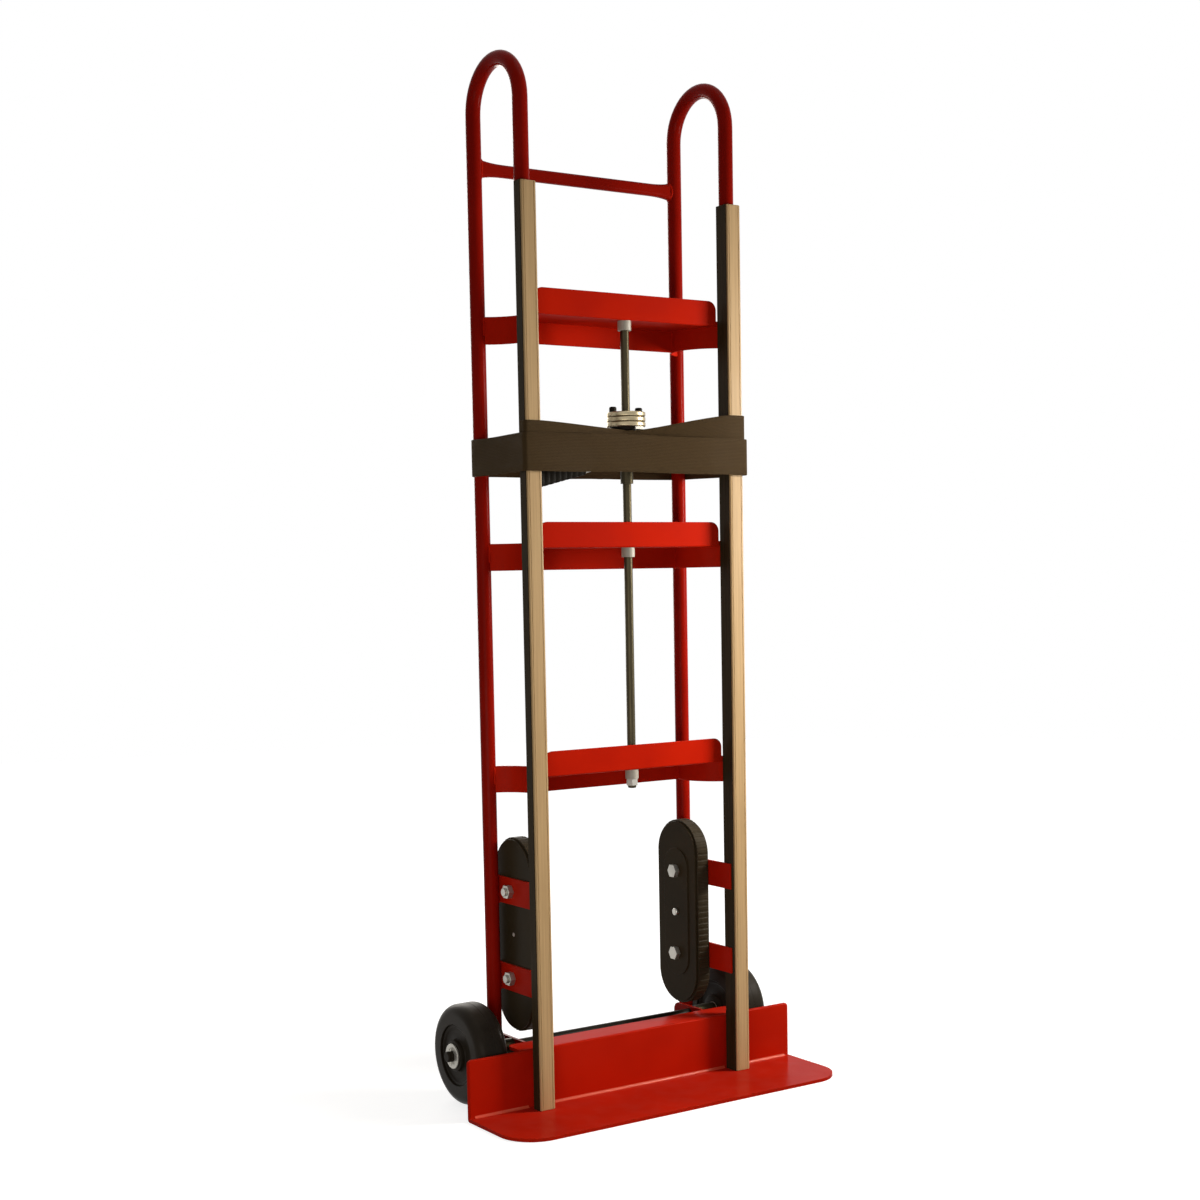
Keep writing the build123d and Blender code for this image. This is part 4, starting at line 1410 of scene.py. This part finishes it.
@dataclass
class Studio:
    """The camera, the lamps, the pale floor and the white surroundings."""

    place: Triple = (-1.55076, -2.25555, 0.77545)
    azimuth: float = -33.49
    elevation: float = 5.14
    roll: float = -1.07
    sensor: float = 36.0
    lens: float = 55.007
    shift: Plan = (0.0, 0.1193)
    ambient: float = 0.14
    ambient_colour: Colour = (1.0, 0.98, 0.95)
    floor_reach: float = 6.0
    floor_sides: int = 64
    floor_drop: float = 0.0002
    floor_grey: float = 0.4
    shadow_span: Plan = (0.35, 1.0)
    shadow_glow: Plan = (0.80, 1.0)

    def camera(self) -> None:
        """Stand the camera where the photograph was taken."""
        data = bpy.data.cameras.new("camera")
        data.sensor_width = self.sensor
        data.lens = self.lens
        data.shift_x, data.shift_y = self.shift
        turn, rise, lean = (math.radians(angle) for angle in (self.azimuth, self.elevation, self.roll))
        back = Vector((math.sin(turn) * math.cos(rise), -math.cos(turn) * math.cos(rise), math.sin(rise)))
        level = Vector((math.cos(turn), math.sin(turn), 0.0))
        up = back.cross(level)
        right = level * math.cos(lean) + up * math.sin(lean)
        above = up * math.cos(lean) - level * math.sin(lean)
        made = added("camera", data)
        turned_to = Matrix((right, above, back)).transposed().to_4x4()
        made.matrix_world = Matrix.Translation(Vector(self.place)) @ turned_to
        bpy.context.scene.camera = made

    @staticmethod
    def background_rays(tree: NodeTree) -> Socket:
        """Tell the rays that see the white background: from the camera, a gloss or a clear piece.

        Args:
            tree: the nodes of the world or the floor.

        Returns:
            One for such a ray, and nought for the rest.
        """
        path = tree.node("ShaderNodeLightPath").outputs
        mirrored = tree.math("MAXIMUM", path["Is Glossy Ray"], path["Is Transmission Ray"])
        return tree.math("MAXIMUM", path["Is Camera Ray"], mirrored)

    def world(self) -> None:
        """Light the truck evenly from all round, in front of a background that shows as white."""
        world = bpy.data.worlds.new("studio")
        bpy.context.scene.world = world
        world.use_nodes = True
        tree = NodeTree(world.node_tree)
        plain = world.node_tree.nodes["Background"]
        plain.inputs["Color"].default_value = (*self.ambient_colour, 1.0)
        plain.inputs["Strength"].default_value = self.ambient
        white = tree.node("ShaderNodeBackground")
        white.inputs["Color"].default_value = (1.0, 1.0, 1.0, 1.0)
        both = tree.node("ShaderNodeMixShader")
        tree.feed(both.inputs[0], self.background_rays(tree))
        tree.feed(both.inputs[1], plain.outputs[0])
        tree.feed(both.inputs[2], white.outputs[0])
        tree.feed(world.node_tree.nodes["World Output"].inputs["Surface"], both.outputs[0])

    def floor(self) -> None:
        """Lay a pale floor that keeps the truck's shadow near it and fades to the white background."""
        shell = Shell()
        for step in range(self.floor_sides):
            angle, reach = math.tau * step / self.floor_sides, self.floor_reach
            shell.points.append(Vector((reach * math.cos(angle), reach * math.sin(angle), -self.floor_drop)))
        shell.faces = [tuple(range(self.floor_sides))]
        floor = shell.piece("floor")
        made = bpy.data.materials.new("pale_floor")
        made.use_nodes = True
        tree = NodeTree(made.node_tree)
        made.node_tree.nodes.remove(made.node_tree.nodes["Principled BSDF"])
        pale = tree.node("ShaderNodeBsdfDiffuse")
        pale.inputs["Color"].default_value = (self.floor_grey, self.floor_grey, self.floor_grey, 1.0)
        spread = tree.node("ShaderNodeVectorMath", operation="LENGTH")
        tree.feed(spread.inputs[0], tree.node("ShaderNodeTexCoord").outputs["Object"])
        fade = tree.span(spread.outputs["Value"], *self.shadow_span, *self.shadow_glow)
        bright = tree.node("ShaderNodeEmission")
        tree.feed(bright.inputs["Strength"], tree.math("MULTIPLY", self.background_rays(tree), fade))
        both = tree.node("ShaderNodeAddShader")
        tree.feed(both.inputs[0], pale.outputs[0])
        tree.feed(both.inputs[1], bright.outputs[0])
        tree.feed(made.node_tree.nodes["Material Output"].inputs["Surface"], both.outputs[0])
        floor.data.materials.append(made)

    def build(self) -> None:
        """Set up the whole studio."""
        self.camera()
        self.world()
        self.floor()
        for lamp in LAMPS:
            lamp.hang()
        bpy.context.scene.view_settings.view_transform = "Standard"


def dress_solids() -> None:
    """Give every solid of the frame the finish that the record names for it, the tubes and the tie bar in a
    darker copy of the frame paint that is painted shade.
    """
    for row in frame["record"]["subparts"]:
        node = frame["nodes"][row["node"]]
        # The tubes and the tie bar take the darker copy of the frame paint, a painted shade.
        deep = row["node"].endswith("_frame_tube") or row["node"] == "top_tie_bar"
        node.data.materials.clear()
        node.data.materials.append((SHADED_FRAME_PAINT if deep else FINISHES[row["material_slot"]]).material())
        LOG.info("%s finished in %s", row["node"], row["material_slot"])


def main() -> None:
    """Build and dress the truck's sub-assemblies in order, and report each piece."""
    logging.basicConfig(level=logging.INFO, format="%(name)s: %(message)s")
    Studio().build()
    dress_solids()
    SideFrames().dress()
    ToePlate().dress()
    CrossBraces().dress()
    RailFacings().dress()
    for side in Side:
        Wheel(side).dress()
        StairGlide(side).dress()
    AxleSet().dress()
    Fasteners().dress()
    Tightener().dress()
    LoadStrap().dress()


if __name__ == "__main__":
    main()
